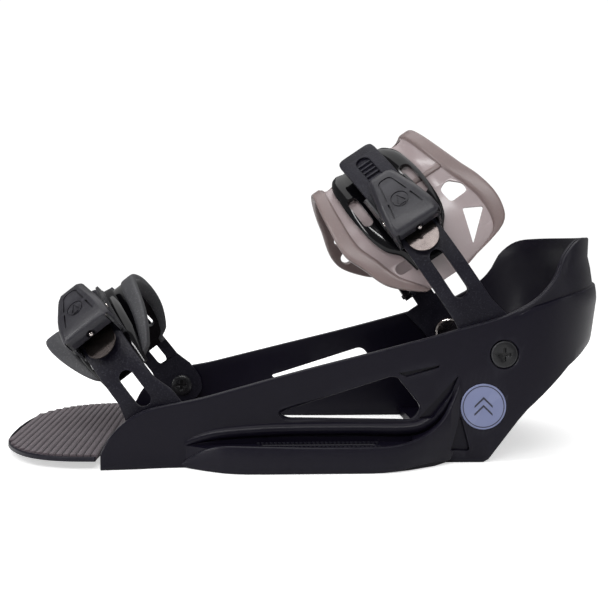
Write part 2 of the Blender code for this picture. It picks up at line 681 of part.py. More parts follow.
def make_buckle(strap, finishes, frame, strap_body):
    """The ratchet buckle, as its base. frame is an empty at the ladder's curve, square to it."""
    name = strap.name
    inner = -(LADDER_THICKNESS / 2 + BUCKLE_FLOOR_GAP)
    spread = math.degrees(17.5 / strap.radius)
    floor = arc_plate(
        strap, f"{name}_buckle_base", EAR_OUTSIDE, inner - BUCKLE_FLOOR, inner,
        strap.buckle_angle - spread, strap.buckle_angle + spread,
    )
    base = add_object(f"{name}_buckle_base", floor, finishes["black_steel"], strap_body)
    base.location = -strap_body.location
    ear = [(2.4, -17.5), (-6, -17.5), (-12.6, -16.2), (-12.6, -9.6), (-7.4, -3.0), (-6.4, 5)]
    ear = rounded(ear + [(-2.4, 15.5), (2.9, 15.5)], 2.0, 2)
    for side, label in ((-1, "front"), (1, "back")):
        low, high = sorted((side * EAR_INSIDE, side * EAR_OUTSIDE))
        mesh = extruded("ear", ear, "x", low, high)
        join(base, f"{name}_ear_{label}_guide", mesh, parent=frame)
    reach = EAR_OUTSIDE + 0.5
    for label, (out, up) in (("lever", LEVER_PIN_AT), ("release", RELEASE_PIN_AT)):
        bore = extruded("pin_bore", circle((-out, up), PIN_BORE_RADIUS, 18), "x", -20, 20)
        cut(base, f"{name}_{label}_bore_cutter", bore, parent=frame)
        pin = extruded("pin", circle((-out, up), PIN_RADIUS, 18), "x", -reach, reach)
        add_object(f"{name}_{label}_pin", pin, finishes["steel"], frame)

    lever_axis = empty(f"{name}_lever_axis", (0, -LEVER_PIN_AT[0], LEVER_PIN_AT[1]), parent=frame)
    lever = add_object(f"{name}_lever", lever_mesh(name), finishes["grip"], lever_axis)
    bore = extruded("lever_bore", circle((0, 0), PIN_BORE_RADIUS, 18), "x", -20, 20)
    cut(lever, f"{name}_lever_bore_cutter", bore, parent=lever_axis)
    socket = extruded("plunger_socket", circle((0, 0.4), 2.5, 18), "z", -8, -2.3)
    cut(lever, f"{name}_lever_socket_cutter", socket, parent=lever_axis)
    profile = [(-2.7, 1.0), (-3.4, 1.0), (-3.6, 1.7), (-4.3, 1.9), (-4.9, 1.6), (-5.2, 0.8)]
    plunger = loft("plunger", [[(a, b, z) for a, b in circle((0, 0.4), r, 16)] for z, r in profile])
    add_object(f"{name}_lever_plunger", plunger, finishes["steel"], lever_axis)

    release_axis = empty(f"{name}_release_axis", (0, -RELEASE_PIN_AT[0], RELEASE_PIN_AT[1]), parent=frame)
    release = add_object(f"{name}_release", release_mesh(name), finishes["steel"], release_axis)
    knuckle = extruded("knuckle", circle((0, 0), 2.9, 20), "x", -RELEASE_HALF_WIDTH, RELEASE_HALF_WIDTH)
    join(release, f"{name}_knuckle_guide", knuckle, parent=release_axis)
    bore = extruded("knuckle_bore", circle((0, 0), PIN_BORE_RADIUS, 18), "x", -20, 20)
    cut(release, f"{name}_knuckle_cutter", bore, parent=release_axis)
    return base


def lever_mesh(name):
    """The lever about its hinge: X across, -Y outward, +Z to its free end."""
    stations = [
        (-4.2, 9.6, -1.6, 1.8), (-3.6, 10.9, -3.4, 3.4), (-2.0, LEVER_HALF_WIDTH, -4.3, 3.9),
        (2.0, LEVER_HALF_WIDTH, -4.6, 3.9), (4.6, LEVER_HALF_WIDTH, -4.6, 1.7), (13.4, 10.3, -3.9, 1.7),
        (14.6, 10.2, -3.7, 5.4), (20.0, 9.4, -2.6, 6.4), (27.0, 8.4, -1.0, 7.2),
        (31.5, 7.6, 0.6, 7.8), (33.2, 6.4, 2.4, 7.4),
    ]
    rings = []
    for z, half, top, low in stations:
        edge = min(1.8, (low - top) * 0.3)
        ring = [
            (-half + 1.9, top), (half - 1.9, top), (half, top + edge), (half, low - 0.6),
            (half - 0.6, low), (-half + 0.6, low), (-half, low - 0.6), (-half, top + edge),
        ]
        rings.append([(x, y, z) for x, y in ring])
    return loft(f"{name}_lever", rings, sharp=28)


def release_mesh(name):
    """The sprung steel plate about its hinge, with a round finger tab."""
    half = RELEASE_HALF_WIDTH
    plate = [(-half, -2.2), (half, -2.2)] + arc((0, -15.6), half, 0, -180, 10)
    rings = []
    for low in (1.3, 2.5):
        rings.append([(x, low + 0.045 * (-2.2 - z), z) for x, z in turned_left(plate)])
    return loft(f"{name}_release", rings)


def make_carrier(strap, finishes, body):
    """The gloss plate between the strap and the buckle, open beside the ladder."""
    name = strap.name
    if name == "ankle":
        heights = (60.0, 116.5)
        front = [(0.0, -15), (0.2, -15), (0.27, -22), (0.36, -22), (0.48, -20)]
        windows = ((-16.6, 0.30, 9.0), (17.0, 0.30, 9.0))
    else:
        heights = (30.0, 68.5)
        front = [(0.0, -15), (0.1, -15), (0.2, -18), (0.4, -16), (0.5, -14)]
        windows = ()
    start, end = (strap.part_at_height(h) for h in heights)
    back = [(part, -x) for part, x in front]
    low = RIM_OUTSIDE + CARRIER_GAP
    top, edge = low + CARRIER_THICKNESS, low + 1.6
    layers = [(0, low, edge), (0.06, low, top), (0.94, low, top), (1, low, edge)]
    band = band_mesh(strap, "carrier", start, end, front, back, layers, 16)
    carrier = add_object(f"{name}_carrier", band, finishes["gloss"], body)
    carrier.location = -body.location
    for i, (x, part, reach) in enumerate(windows):
        window = stadium((0, 0), reach, 2.0, 4, True)
        cut_on_arch(strap, carrier, f"{name}_carrier_window_cutter_{i}", window, part, x)
    return carrier


def rimmed_layers(edge, rim, web):
    """Layers of a band with a thick rounded rim at both sides and a thinner web."""
    half = [
        (0, -RIM_INSIDE + 0.8, RIM_OUTSIDE - 0.8), (edge, -RIM_INSIDE, RIM_OUTSIDE),
        (rim, -RIM_INSIDE, RIM_OUTSIDE), (web, -WEB_INSIDE, WEB_OUTSIDE),
    ]
    middle = [(0.5, -WEB_INSIDE, WEB_OUTSIDE)]
    return half + middle + [(1 - share, low, high) for share, low, high in half[::-1]]


def make_ankle_pad(strap, finishes, body):
    """The moulded ankle strap with a thick rim and its windows."""
    start = strap.part_at_height(45.5)
    end = strap.part_at_height(46.0, medial=True)
    front = [
        (start, -9), (0.11, -16), (0.2, -28), (0.32, -31), (0.5, -30), (0.68, -34),
        (0.8, -37), (0.88, -26), (end, -12),
    ]
    back = [
        (start, 15), (0.1, 35), (0.15, 42.5), (0.25, 45), (0.35, 43), (0.5, 36.5), (0.66, 38),
        (0.8, 40), (0.88, 34), (end, 14),
    ]
    layers = rimmed_layers(0.015, 0.085, 0.12)
    mesh = band_mesh(strap, "ankle_pad", start, end, front, back, layers, 36)
    pad = add_object("ankle_pad", mesh, finishes["smoke"], body)
    pad.location = -body.location
    half_moon = rounded([(-5, -7.5), (6, -6), (7, 2), (1, 8), (-5, 6)], 4, 3)
    triangle = rounded([(-6, 8), (6.5, 8), (1.5, -11)], 2.5, 3)
    long_hole = stadium((0, 0), 9.0, 3.6, 4)
    crest_hole = stadium((0, 0), 9.0, 4.0, 4, True)
    for name, outline, part, x in (
        ("lateral_upper", half_moon, 0.335, 30.0), ("lateral_lower", triangle, 0.185, 33.5),
        ("medial_upper", half_moon, 0.665, 27.0), ("medial_lower", triangle, 0.8, 28.0),
        ("lateral_front", long_hole, 0.13, -12.0), ("medial_front_1", long_hole, 0.8, -24.0),
        ("medial_front_2", long_hole, 0.74, -22.0),
        ("crest_front", crest_hole, 0.5, -20.0), ("crest_back", crest_hole, 0.5, 24.0),
    ):
        cut_on_arch(strap, pad, f"ankle_{name}_window_cutter", outline, part, x)
    return pad


def make_toe_cap(strap, finishes, body):
    """The two-band toe strap: a front band over the toes and a back band, joined at both ends."""
    start = strap.part_at_height(31.0)
    end = strap.part_at_height(31.0, medial=True)
    front = [
        (start, -10), (0.14, -17), (0.24, -25), (0.36, -31), (0.5, -34), (0.64, -31),
        (0.76, -25), (0.86, -17), (end, -10),
    ]
    back = [
        (start, 11), (0.12, 19), (0.22, 26), (0.35, 27.5), (0.5, 27), (0.65, 27.5),
        (0.78, 26), (0.88, 19), (end, 11),
    ]
    layers = rimmed_layers(0.02, 0.12, 0.17)
    mesh = band_mesh(strap, "toe_cap", start, end, front, back, layers, 32)
    cap = add_object("toe_cap", mesh, finishes["cap"], body)
    cap.location = -body.location
    cut_on_arch(strap, cap, "toe_cap_window_cutter", stadium((0, 0), 24.0, 8.5, 5, True), 0.5, -4.0, 20.0)
    return cap


def make_medial_link(strap, finishes, pivot, body):
    """The plain strap from the medial pivot, and the tool-less adjuster that holds it."""
    name = strap.name
    half = LADDER_THICKNESS / 2
    side = strap.side
    if name == "ankle":
        cy, cz = strap.centre
        foot = arc((0, 0), 12.5, 180, 360, 12)
        outline = foot + [(13.2, 8), (16, 24.5), (6.4, 24.5), (6.4, cz)]
        outline += [(-6.4, cz), (-6.4, 24.5), (-16, 24.5), (-13.2, 8)]
        mesh = extruded("link", outline, "y", side - half, side + half)
        link = add_object("ankle_medial_link", mesh, finishes["ladder"], pivot)
        barrel = extruded("barrel", circle((cy, cz), 3.0, 20), "x", -6.4, 6.4)
        join(link, "ankle_link_barrel_guide", barrel)
        bore = extruded("bore", circle((cy, cz), PIN_BORE_RADIUS, 18), "x", -20, 20)
        cut(link, "ankle_link_bore_cutter", bore)
        pin = extruded("pin", circle((0, 0), PIN_RADIUS, 18), "x", -12.6, 12.6)
        add_object("ankle_medial_pin", pin, finishes["steel"], body)
    else:
        foot = ((-12, 3.5), (-10.5, 7.5), (-8, 10), (-4, 12), (0, 12.6), (8, 12.6), (14, 11))
        rows = [(width, Vector((side - half, z)), Vector((side + half, z))) for z, width in foot]
        for i in range(12):
            angle = 58.0 * i / 11
            inner, outer = strap.on_ladder(angle, -half), strap.on_ladder(angle, half)
            width = 10.0 if i < 10 else 8.0
            rows.append((width, Vector((-inner.x, inner.y)), Vector((-outer.x, outer.y))))
        rings = []
        for w, inner, outer in rows:
            rings.append([(-w, *inner), (w, *inner), (w, *outer), (-w, *outer)])
        link = add_object("toe_medial_link", loft("link", rings), finishes["ladder"], pivot)
        slot = extruded("slot", stadium((0, 27), 9, 3.2, 5, True), "y", 40, 80)
        cut(link, "toe_link_slot_cutter", slot)
    bore_radius = PIVOT_BORE_RADIUS if name == "ankle" else TOE_BORE_RADIUS
    bore = turned("bore", [(50, bore_radius), (80, bore_radius)], sides=20)
    cut(link, f"{name}_link_pivot_cutter", bore)


def medial_frame(strap, angle, outward):
    """Matrix on the medial side of a round strap: Y down the strap and Z outward."""
    turn = math.radians(angle)
    reach = strap.radius + outward
    matrix = Matrix.Identity(4)
    matrix.col[1][:3] = (0, math.sin(turn), -math.cos(turn))
    matrix.col[2][:3] = (0, math.cos(turn), math.sin(turn))
    spot = (0, strap.centre.x + reach * math.cos(turn), strap.centre.y + reach * math.sin(turn))
    matrix.translation = Vector(spot) * MM
    return matrix


def make_latch(name, finish, pin_finish, holder, body, matrix):
    """A small over-centre latch on a pin between two lugs of its holder."""
    seat = empty(f"{name}_latch_seat", (0, 0, 0), parent=body)
    seat.matrix_local = Matrix.Translation(-body.location) @ matrix
    lug = [(-2.6, -3.4), (2.6, -3.4), (2.3, 0.9), (0.9, 2.3), (-0.9, 2.3), (-2.3, 0.9)]
    for side, label in ((-1, "front"), (1, "back")):
        low, high = sorted((side * 6.9, side * 8.6))
        join(holder, f"{name}_lug_{label}_guide", extruded("lug", lug, "x", low, high), parent=seat)
    bore = extruded("bore", circle((0, 0), LATCH_BORE_RADIUS, 16), "x", -20, 20)
    cut(holder, f"{name}_lug_bore_cutter", bore, parent=seat)
    pin = extruded("pin", circle((0, 0), LATCH_PIN_RADIUS, 16), "x", -8.6, 8.6)
    add_object(f"{name}_latch_pin", pin, pin_finish, seat)
    side_view = [(-1.9, -1.3), (10, -1.4), (14, 0.4), (16.5, 3.6), (15.4, 4.4)]
    side_view += [(12.2, 2.2), (6, 1.7), (1.2, 2.2), (-1.2, 1.9)]
    axis = empty(f"{name}_latch_axis", (0, 0, 0), parent=seat)
    mesh = extruded("latch", rounded(side_view, 1.2, 2), "x", -6.5, 6.5)
    latch = add_object(f"{name}_latch", mesh, finish, axis)
    cut(latch, f"{name}_latch_bore_cutter", bore.copy(), parent=axis)


def make_ankle_adjuster(strap, finishes, body):
    """The plate hinged on the medial link, riveted to the pad, with its latch."""
    cy, cz = strap.centre
    top = strap.part_at_height(74, medial=True)
    foot = strap.part_at_height(50, medial=True)
    outer, inner = [], []
    for i in range(9):
        part = top + (foot - top) * i / 8
        spot, _ = strap.on_arch(part, 4.7)
        outer.append((spot.x, spot.y))
        spot, _ = strap.on_arch(part, 2.1)
        inner.append((spot.x, spot.y))
    outline = outer + [(61.0, 41.5), (61.0, 37.6), (57.8, 37.6), (56.6, 43.0)] + inner[::-1]
    mesh = extruded("adjuster", outline, "x", -11.5, 11.5)
    holder = add_object("ankle_adjuster", mesh, finishes["gloss"], body)
    holder.location = -body.location
    back = -body.location / MM
    for side, label in ((-1, "front"), (1, "back")):
        low, high = sorted((side * 6.8, side * 11.5))
        lug = extruded("lug", [(57.4, 34), (60.6, 34), (60.6, 40), (57.9, 40)], "x", low, high)
        join(holder, f"ankle_knuckle_lug_{label}_guide", lug, parent=body, location=back)
        ring = extruded("ring", circle((cy, cz), 3.0, 20), "x", low, high)
        join(holder, f"ankle_knuckle_{label}_guide", ring, parent=body, location=back)
    bore = extruded("bore", circle((cy, cz), PIN_BORE_RADIUS, 18), "x", -20, 20)
    cut(holder, "ankle_knuckle_bore_cutter", bore, parent=body, location=back)
    matrix = arch_frame(strap, strap.part_at_height(69, medial=True), 0.0, 7.4)
    make_latch("ankle", finishes["red"], finishes["steel"], holder, body, matrix)


def make_toe_adjuster(strap, finishes, body):
    """The housing that the medial strap feeds through, with its latch on top."""

    def medial_block(label, half, low, high, start, end, steps=6):
        mesh = arc_plate(strap, label, half, low, high, start, end, steps)
        mesh.transform(Matrix.Scale(-1, 4, (0, 1, 0)))
        mesh.flip_normals()
        return mesh

    block = medial_block("toe_adjuster", 12.4, -5.9, 3.4, 33, 50)
    holder = add_object("toe_adjuster", block, finishes["gloss"], body)
    holder.location = -body.location
    channel = medial_block("channel", 10.5, -1.8, 1.8, 25, 60, 8)
    cut(holder, "toe_channel_cutter", channel, parent=body, location=-body.location / MM)
    seat = medial_frame(strap, 45, 6.0)
    make_latch("toe", finishes["copper"], finishes["steel"], holder, body, seat)


def make_rivet(strap, finishes, frame, pieces):
    """The rivet that holds the buckle through the carrier and the strap."""
    part = strap.part_at_height(strap.on_ladder(strap.buckle_angle).y - 5)
    spot, _ = strap.on_arch(part)
    depth = strap.radius - (spot - strap.centre).length
    top = LADDER_THICKNESS / 2 + BUCKLE_FLOOR_GAP + 0.15
    head = depth + 3.2
    bore = turned("bore", [(0, RIVET_BORE_RADIUS), (head + 6, RIVET_BORE_RADIUS)], sides=18)
    for piece in pieces:
        cut(piece, f"{piece.name}_rivet_cutter", bore.copy(), parent=frame)
    profile = [(top, RIVET_RADIUS), (head, RIVET_RADIUS), (head + 0.001, 6.0), (head + 1.0, 6.0)]
    mesh = turned("rivet", profile + [(head + 1.8, 4.4)], sides=20)
    add_object(f"{strap.name}_buckle_rivet", mesh, finishes["steel"], frame)


def make_strap(plan, finishes, stand):
    strap = Strap(plan)
    name = strap.name
    x, z = plan["pivot"]
    pivot = empty(f"{name}_pivot", (x, 0, z), (0, -plan["lean"], 0), stand)
    cy, cz = strap.centre
    body = empty(f"{name}_strap_axis", (0, cy, cz), parent=pivot)
    spot = strap.on_ladder(strap.buckle_angle)
    frame = empty(f"{name}_buckle_seat", (0, spot.x - cy, spot.y - cz), (-strap.buckle_angle, 0, 0), body)

    ladder = add_object(f"{name}_ladder", ladder_mesh(strap), finishes["ladder"], pivot)
    low, high = strap.slot
    slot = stadium((0, (low + high) / 2), (high - low) / 2, 3.9, 6, True)
    cut(ladder, f"{name}_ladder_slot_cutter", extruded("slot", slot, "y", -90, -20))
    bore_radius = PIVOT_BORE_RADIUS if name == "ankle" else TOE_BORE_RADIUS
    bore = turned("bore", [(-80, bore_radius), (-50, bore_radius)], sides=20)
    cut(ladder, f"{name}_ladder_pivot_cutter", bore)
    make_medial_link(strap, finishes, pivot, body)
    base = make_buckle(strap, finishes, frame, body)
    carrier = make_carrier(strap, finishes, body)
    if name == "ankle":
        band = make_ankle_pad(strap, finishes, body)
        make_ankle_adjuster(strap, finishes, body)
    else:
        band = make_toe_cap(strap, finishes, body)
        make_toe_adjuster(strap, finishes, body)
    make_rivet(strap, finishes, frame, (base, carrier, band))


def main():
    for obj in list(bpy.data.objects):
        bpy.data.objects.remove(obj, do_unlink=True)
    finishes = make_finishes()
    stand = empty("binding", (-LENGTH_CENTRE_X, 0, 0))
    make_chassis(finishes, stand)
    make_ramp(finishes, stand)
    make_badges(finishes, stand)
    make_ankle_fasteners(finishes, stand)
    make_toe_fasteners(finishes, stand)
    for plan in (ANKLE, TOE):
        make_strap(plan, finishes, stand)
    bpy.context.view_layer.update()


main()
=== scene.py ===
"""Looks of an open-chassis strap binding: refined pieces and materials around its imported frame.

Axes: +X towards the heel, -Y the lateral side with the buckles, +Z up from the board.
Sizes below are in millimetres, measured in the design frame, whose X starts at the middle of
the chassis flanges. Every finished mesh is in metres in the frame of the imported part.
"""

import math

import bmesh
import bpy
from mathutils import Matrix, Vector


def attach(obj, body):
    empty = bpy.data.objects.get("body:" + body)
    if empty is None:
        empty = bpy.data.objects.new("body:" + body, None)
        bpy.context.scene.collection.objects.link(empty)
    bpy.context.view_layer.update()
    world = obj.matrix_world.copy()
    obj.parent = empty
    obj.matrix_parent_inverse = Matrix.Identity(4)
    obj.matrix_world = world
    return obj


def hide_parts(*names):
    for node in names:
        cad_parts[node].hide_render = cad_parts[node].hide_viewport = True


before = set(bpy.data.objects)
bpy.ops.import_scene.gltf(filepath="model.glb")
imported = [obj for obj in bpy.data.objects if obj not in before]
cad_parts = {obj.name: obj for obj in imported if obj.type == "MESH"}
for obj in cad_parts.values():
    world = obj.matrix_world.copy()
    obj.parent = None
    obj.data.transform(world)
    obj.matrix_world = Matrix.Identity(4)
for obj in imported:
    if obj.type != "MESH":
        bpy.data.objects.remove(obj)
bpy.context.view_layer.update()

bl_info = {
    "name": "Strap Binding",
    "version": (1, 0, 0),
    "blender": (4, 5, 0),
    "location": "3D View > Sidebar > Binding",
    "description": "Builds the visible pieces of a strap binding around its packed frame",
    "category": "Add Mesh",
}

MM = 0.001
CENTRE_X = -1.35
DESIGN = Matrix.Translation((-CENTRE_X * MM, 0, 0)) @ Matrix.Scale(MM, 4)

# Chassis
RAIL_FRONT_X = -106.0
HEEL_START_X = 104.0
HEEL_REACH = 58.0
HEEL_RIM_PULL = 5.0
HEEL_FOOT_PULL = 4.0
HEEL_BULGE_Z = 82.0
WALL = 4.2
RAIL_HALF_WIDTH = [
    (-106, 77.0), (-90, 75.5), (-76, 73.5), (-60, 72.4), (-50, 71.6),
    (-36, 70.2), (-20, 68.4), (0, 67.0), (20, 66.5), (60, 66.7), (104, 67.1),
]
RAIL_TOP = [
    (-106, 8.4), (-102.6, 14.7), (-97.3, 20.8), (-90.7, 25.8), (-83.4, 29.1), (-73.8, 31.2),
    (-58.3, 34.1), (-42.5, 38.1), (-8, 47.0), (34, 57.5), (71, 67.4), (95, 74.4),
    (110, 82.3), (121, 92.6), (128.5, 104.5), (137, 112.0), (147, 114.0), (165, 114.0),
]
UNDERSIDE = [(-106, 0.0), (86, 0.0), (105, 25.0), (131, 47.5), (155, 60.5), (165, 65.0)]
# Line round the heel above which the shell steps in
CREASE = [(60, 120.0), (88, 77.0), (95, 75.5), (110, 78.6), (129, 83.8), (162, 89.7)]
CREASE_STEP = 1.3

# Wall of each side flange: along X, its outer half width, its underside and its top
FLANGE_PATH = [
    (-69, 71.6, 0.3, 1.6), (-64, 74.6, 0.1, 5.2), (-58, 78.6, 0, 9.6), (-52, 82.2, 0, 12.2),
    (-46, 85.2, 0, 13.3), (-38, 87.3, 0, 13.6), (-26, 88.0, 0, 13.4), (0, 88.0, 0, 12.8),
    (24, 88.0, 0, 12.8), (34, 87.2, 0.3, 13.0), (42, 84.8, 1.2, 13.8), (50, 81.0, 2.2, 15.6),
    (56, 77.4, 2.4, 18.0), (61, 74.2, 2.2, 21.2), (65, 71.6, 1.8, 25.4), (68, 69.6, 4.0, 30.6),
    (70.5, 68.0, 16.0, 36.0), (72.5, 66.8, 30.0, 41.0),
]
FLANGE_WALL = 2.8
# Half width inside the rails to which a flange's foot reaches
FLANGE_FOOT_Y = 64.2
# Undersides end at slightly different heights, so that no two joined pieces share a face
FLANGE_LIFT = 0.08
HEEL_FLOOR_LIFT = 0.22
POCKET_FLOOR = 11.2
FLOOR_PLAN = [
    (-66, 66), (-66, 72), (-56, 79), (-46, 84), (-38, 86), (34, 86), (44, 82), (58, 74), (66, 66),
]
SLOT_CENTRE_Y = 76.2
SLOT_HALF_LENGTH = 29.0
SLOT_HALF_WIDTH = 3.4
# Rounded lip that runs along each rail over its pocket and up beside the brace
LIP_PATH = [
    (-74, 71.2, 8.0, 0.8), (-66, 71.0, 11.6, 1.8), (-58, 70.6, 14.6, 2.8), (-48, 70.2, 16.6, 3.2),
    (-30, 68.4, 17.6, 3.4), (-10, 66.6, 17.8, 3.4), (20, 65.6, 17.6, 3.4), (44, 65.6, 17.4, 3.5),
    (54, 65.6, 19.6, 3.3), (61, 65.5, 25.4, 2.9), (66, 65.4, 33.0, 2.3), (69.5, 65.4, 40.5, 1.5),
    (71, 65.4, 44.0, 1.0),
]
WINDOW = [(-19, 26.0), (39.6, 44.6), (53, 28.0), (49, 21.8), (-15, 23.2)]
SLIT = [(41, 45.6), (62, 49.6), (61, 48.2), (45, 43.6)]
BRACE_SLIT = [(51, 22.5), (71.5, 44.5), (68, 36.0), (58, 23.0)]
POCKET = [(66.5, 6.6), (77.5, 6.0), (72.5, 24.5)]
BADGE_AT = (84.0, 28.5)
BADGE_RADIUS = 11.6

# Ramp under the toes
TRAY_TOP = 4.6
TRAY_LOW = 2.7
RAMP_PLAN = [
    (-164, 0), (-163, 20), (-160, 38), (-154, 52), (-145, 64), (-134, 71.5), (-122, 75),
    (-109, 76), (-108.2, 75), (-107.6, 65.5), (-104, 63.6), (-52, 62.0),
]

# Straps: pivot of each side as X and Z, lean forward, and the arch
ANKLE = dict(
    name="ankle", pivot=(94.5, 54.8), lean=34.0, side=61.2, centre=(59.0, 34.0), buckle_angle=27.0,
    tip_angle=50.0, arch=dict(y0=1.5, half=50.5, foot=35.0, rise=84.0, near=1.8, far=2.1),
    slot=(35.0, 63.0),
)
TOE = dict(
    name="toe", pivot=(-76.0, 20.0), lean=38.0, side=66.2, centre=(0.0, 18.0), buckle_angle=44.0,
    tip_angle=60.0, arch=dict(y0=0.0, half=57.0, foot=16.0, rise=54.5, near=2.0, far=2.0),
    slot=(13.0, 34.0),
)
ARCH_STEPS = 200
LADDER_HALF_WIDTH = 11.0
LADDER_BASE_HALF_WIDTH = 14.0
LADDER_THICKNESS = 2.6
TOOTH_PITCH = 3.0
TRACK_HALF_WIDTH = 3.9
TRACK_DEPTH = 1.3
# Depth of a track where a ladder has none, so that every section has the same points
NO_DEPTH = 0.01
# Where a ladder's track starts before the buckle and ends before the tip, along the arc
TRACK_START = 21.0
TRACK_END = 7.0
TEETH_START = 20.0
TEETH_END = 8.6
STATION_PITCH = 2.0
TIP_HALF_WIDTH = 6.2
# The round foot of a ladder, about its pivot
FOOT_CENTRE = 2.6
FOOT_RADIUS = 12.85
LEVER_PIN_AT = (9.8, -13.0)
RELEASE_PIN_AT = (4.6, -3.5)
PIN_BORE_RADIUS = 1.75
RIVET_BORE_RADIUS = 2.5
PAD_OUTSIDE = 1.7


# Curves and outlines


def lerp(table, x):
    """Value of a list of (x, value) pairs at x."""
    if x <= table[0][0]:
        return table[0][1]
    for (x0, v0), (x1, v1) in zip(table, table[1:]):
        if x <= x1:
            return v0 + (v1 - v0) * (x - x0) / (x1 - x0)
    return table[-1][1]


def smooth(table, x):
    """Value at x of a smooth curve through a list of (x, value) pairs."""
    if x <= table[0][0]:
        return table[0][1]
    if x >= table[-1][0]:
        return table[-1][1]
    last = len(table) - 1
    i = max(k for k in range(last) if table[k][0] <= x)

    def slope(k):
        a, b = table[max(k - 1, 0)], table[min(k + 1, last)]
        return (b[1] - a[1]) / (b[0] - a[0])

    (x0, v0), (x1, v1) = table[i], table[i + 1]
    h = x1 - x0
    t = (x - x0) / h
    rise = v0 * (2 * t**3 - 3 * t**2 + 1) + v1 * (3 * t**2 - 2 * t**3)
    return rise + h * (slope(i) * (t**3 - 2 * t**2 + t) + slope(i + 1) * (t**3 - t**2))


def smooth_row(rows, t):
    """A smooth curve through rows of numbers at t, counted in rows."""
    return [smooth([(i, row[k]) for i, row in enumerate(rows)], t) for k in range(len(rows[0]))]


def arc(centre, radius, start, end, steps):
    """Points on an arc, angles in degrees."""
    points = []
    for i in range(steps + 1):
        angle = math.radians(start + (end - start) * i / steps)
        points.append((centre[0] + radius * math.cos(angle), centre[1] + radius * math.sin(angle)))
    return points


def circle(centre, radius, sides=48):
    return arc(centre, radius, 0, 360, sides)[:-1]


def stadium(centre, half_length, half_width, steps=12, upright=False):
    """A slot with round ends, along the first axis, or along the second when upright."""
    reach = half_length - half_width
    points = arc((reach, 0), half_width, -90, 90, steps) + arc((-reach, 0), half_width, 90, 270, steps)
    if upright:
        points = [(-b, a) for a, b in points]
    return [(centre[0] + a, centre[1] + b) for a, b in points]


def rounded(corners, radius, steps=8):
    """A polygon with each corner turned into a smooth curve."""
    points = []
    for i, corner in enumerate(corners):
        here = Vector(corner)
        before = Vector(corners[i - 1]) - here
        after = Vector(corners[(i + 1) % len(corners)]) - here
        cut = min(radius, before.length * 0.48, after.length * 0.48)
        a = here + before.normalized() * cut
        b = here + after.normalized() * cut
        for k in range(steps + 1):
            t = k / steps
            p = a * (1 - t) ** 2 + here * 2 * t * (1 - t) + b * t**2
            points.append((p.x, p.y))
    return points


def turned_left(outline):
    """The outline with its points in anticlockwise order."""
    area = sum(a[0] * b[1] - b[0] * a[1] for a, b in zip(outline, outline[1:] + outline[:1]))
    return outline if area > 0 else outline[::-1]


def grown(outline, by):
    """The outline moved outwards by a distance, or inwards if it is negative."""
    points = turned_left(outline)
    moved = []
    for i, point in enumerate(points):
        before = Vector(points[i - 1])
        after = Vector(points[(i + 1) % len(points)])
        along = (after - before).normalized()
        moved.append((point[0] + along.y * by, point[1] - along.x * by))
    return moved


# Meshes


def mesh_from(bm, name, place=DESIGN, sharp=35):
    """Closes a bmesh in millimetres into a mesh in place, in metres, with its faces pointing out."""
    bmesh.ops.remove_doubles(bm, verts=bm.verts, dist=1e-4)
    bmesh.ops.recalc_face_normals(bm, faces=bm.faces)
    if bm.calc_volume(signed=True) < 0:
        bmesh.ops.reverse_faces(bm, faces=bm.faces)
    bm.transform(place)
    mesh = bpy.data.meshes.new(name)
    bm.to_mesh(mesh)
    bm.free()
    mesh.shade_smooth()
    mesh.set_sharp_from_angle(angle=math.radians(sharp))
    return mesh


def loft(name, rings, place=DESIGN, sharp=35):
    """A closed solid through rings of equally many points, capped at both ends."""
    bm = bmesh.new()
    loops = [[bm.verts.new(p) for p in ring] for ring in rings]
    count = len(rings[0])
    for first, second in zip(loops, loops[1:]):
        for i in range(count):
            j = (i + 1) % count
            bm.faces.new((first[i], first[j], second[j], second[i]))
    bm.faces.new(loops[0][::-1])
    bm.faces.new(loops[-1])
    return mesh_from(bm, name, place, sharp)


AXIS_PLACES = {
    "x": lambda a, b, c: (c, a, b),
    "y": lambda a, b, c: (a, c, b),
    "z": lambda a, b, c: (a, b, c),
}


def prism(name, outline, axis, levels, place=DESIGN, sharp=35):
    """A prism of an outline along an axis. levels lists (distance, outward growth)."""
    turn = AXIS_PLACES[axis]
    rings = [[turn(a, b, level) for a, b in grown(outline, by)] for level, by in levels]
    return loft(name, rings, place, sharp)


def turned(name, profile, axis="y", sides=64, place=DESIGN, sharp=30):
    """A turned solid: profile lists (distance along the axis, radius)."""
    rings = []
    for along, radius in profile:
        ring = []
        for a, b in circle((0, 0), max(radius, 0.02), sides):
            ring.append(
                (a, along, b) if axis == "y" else ((along, a, b) if axis == "x" else (a, b, along))
            )
        rings.append(ring)
    return loft(name, rings, place, sharp)


def make_object(name, mesh):
    obj = bpy.data.objects.new(name, mesh)
    bpy.context.scene.collection.objects.link(obj)
    return obj


def settled(obj):
    """Turns an object and its modifiers into a plain mesh object."""
    bpy.context.view_layer.update()
    graph = bpy.context.evaluated_depsgraph_get()
    mesh = bpy.data.meshes.new_from_object(
        obj.evaluated_get(graph), preserve_all_data_layers=True, depsgraph=graph
    )
    obj.modifiers.clear()
    obj.data = mesh
    return obj


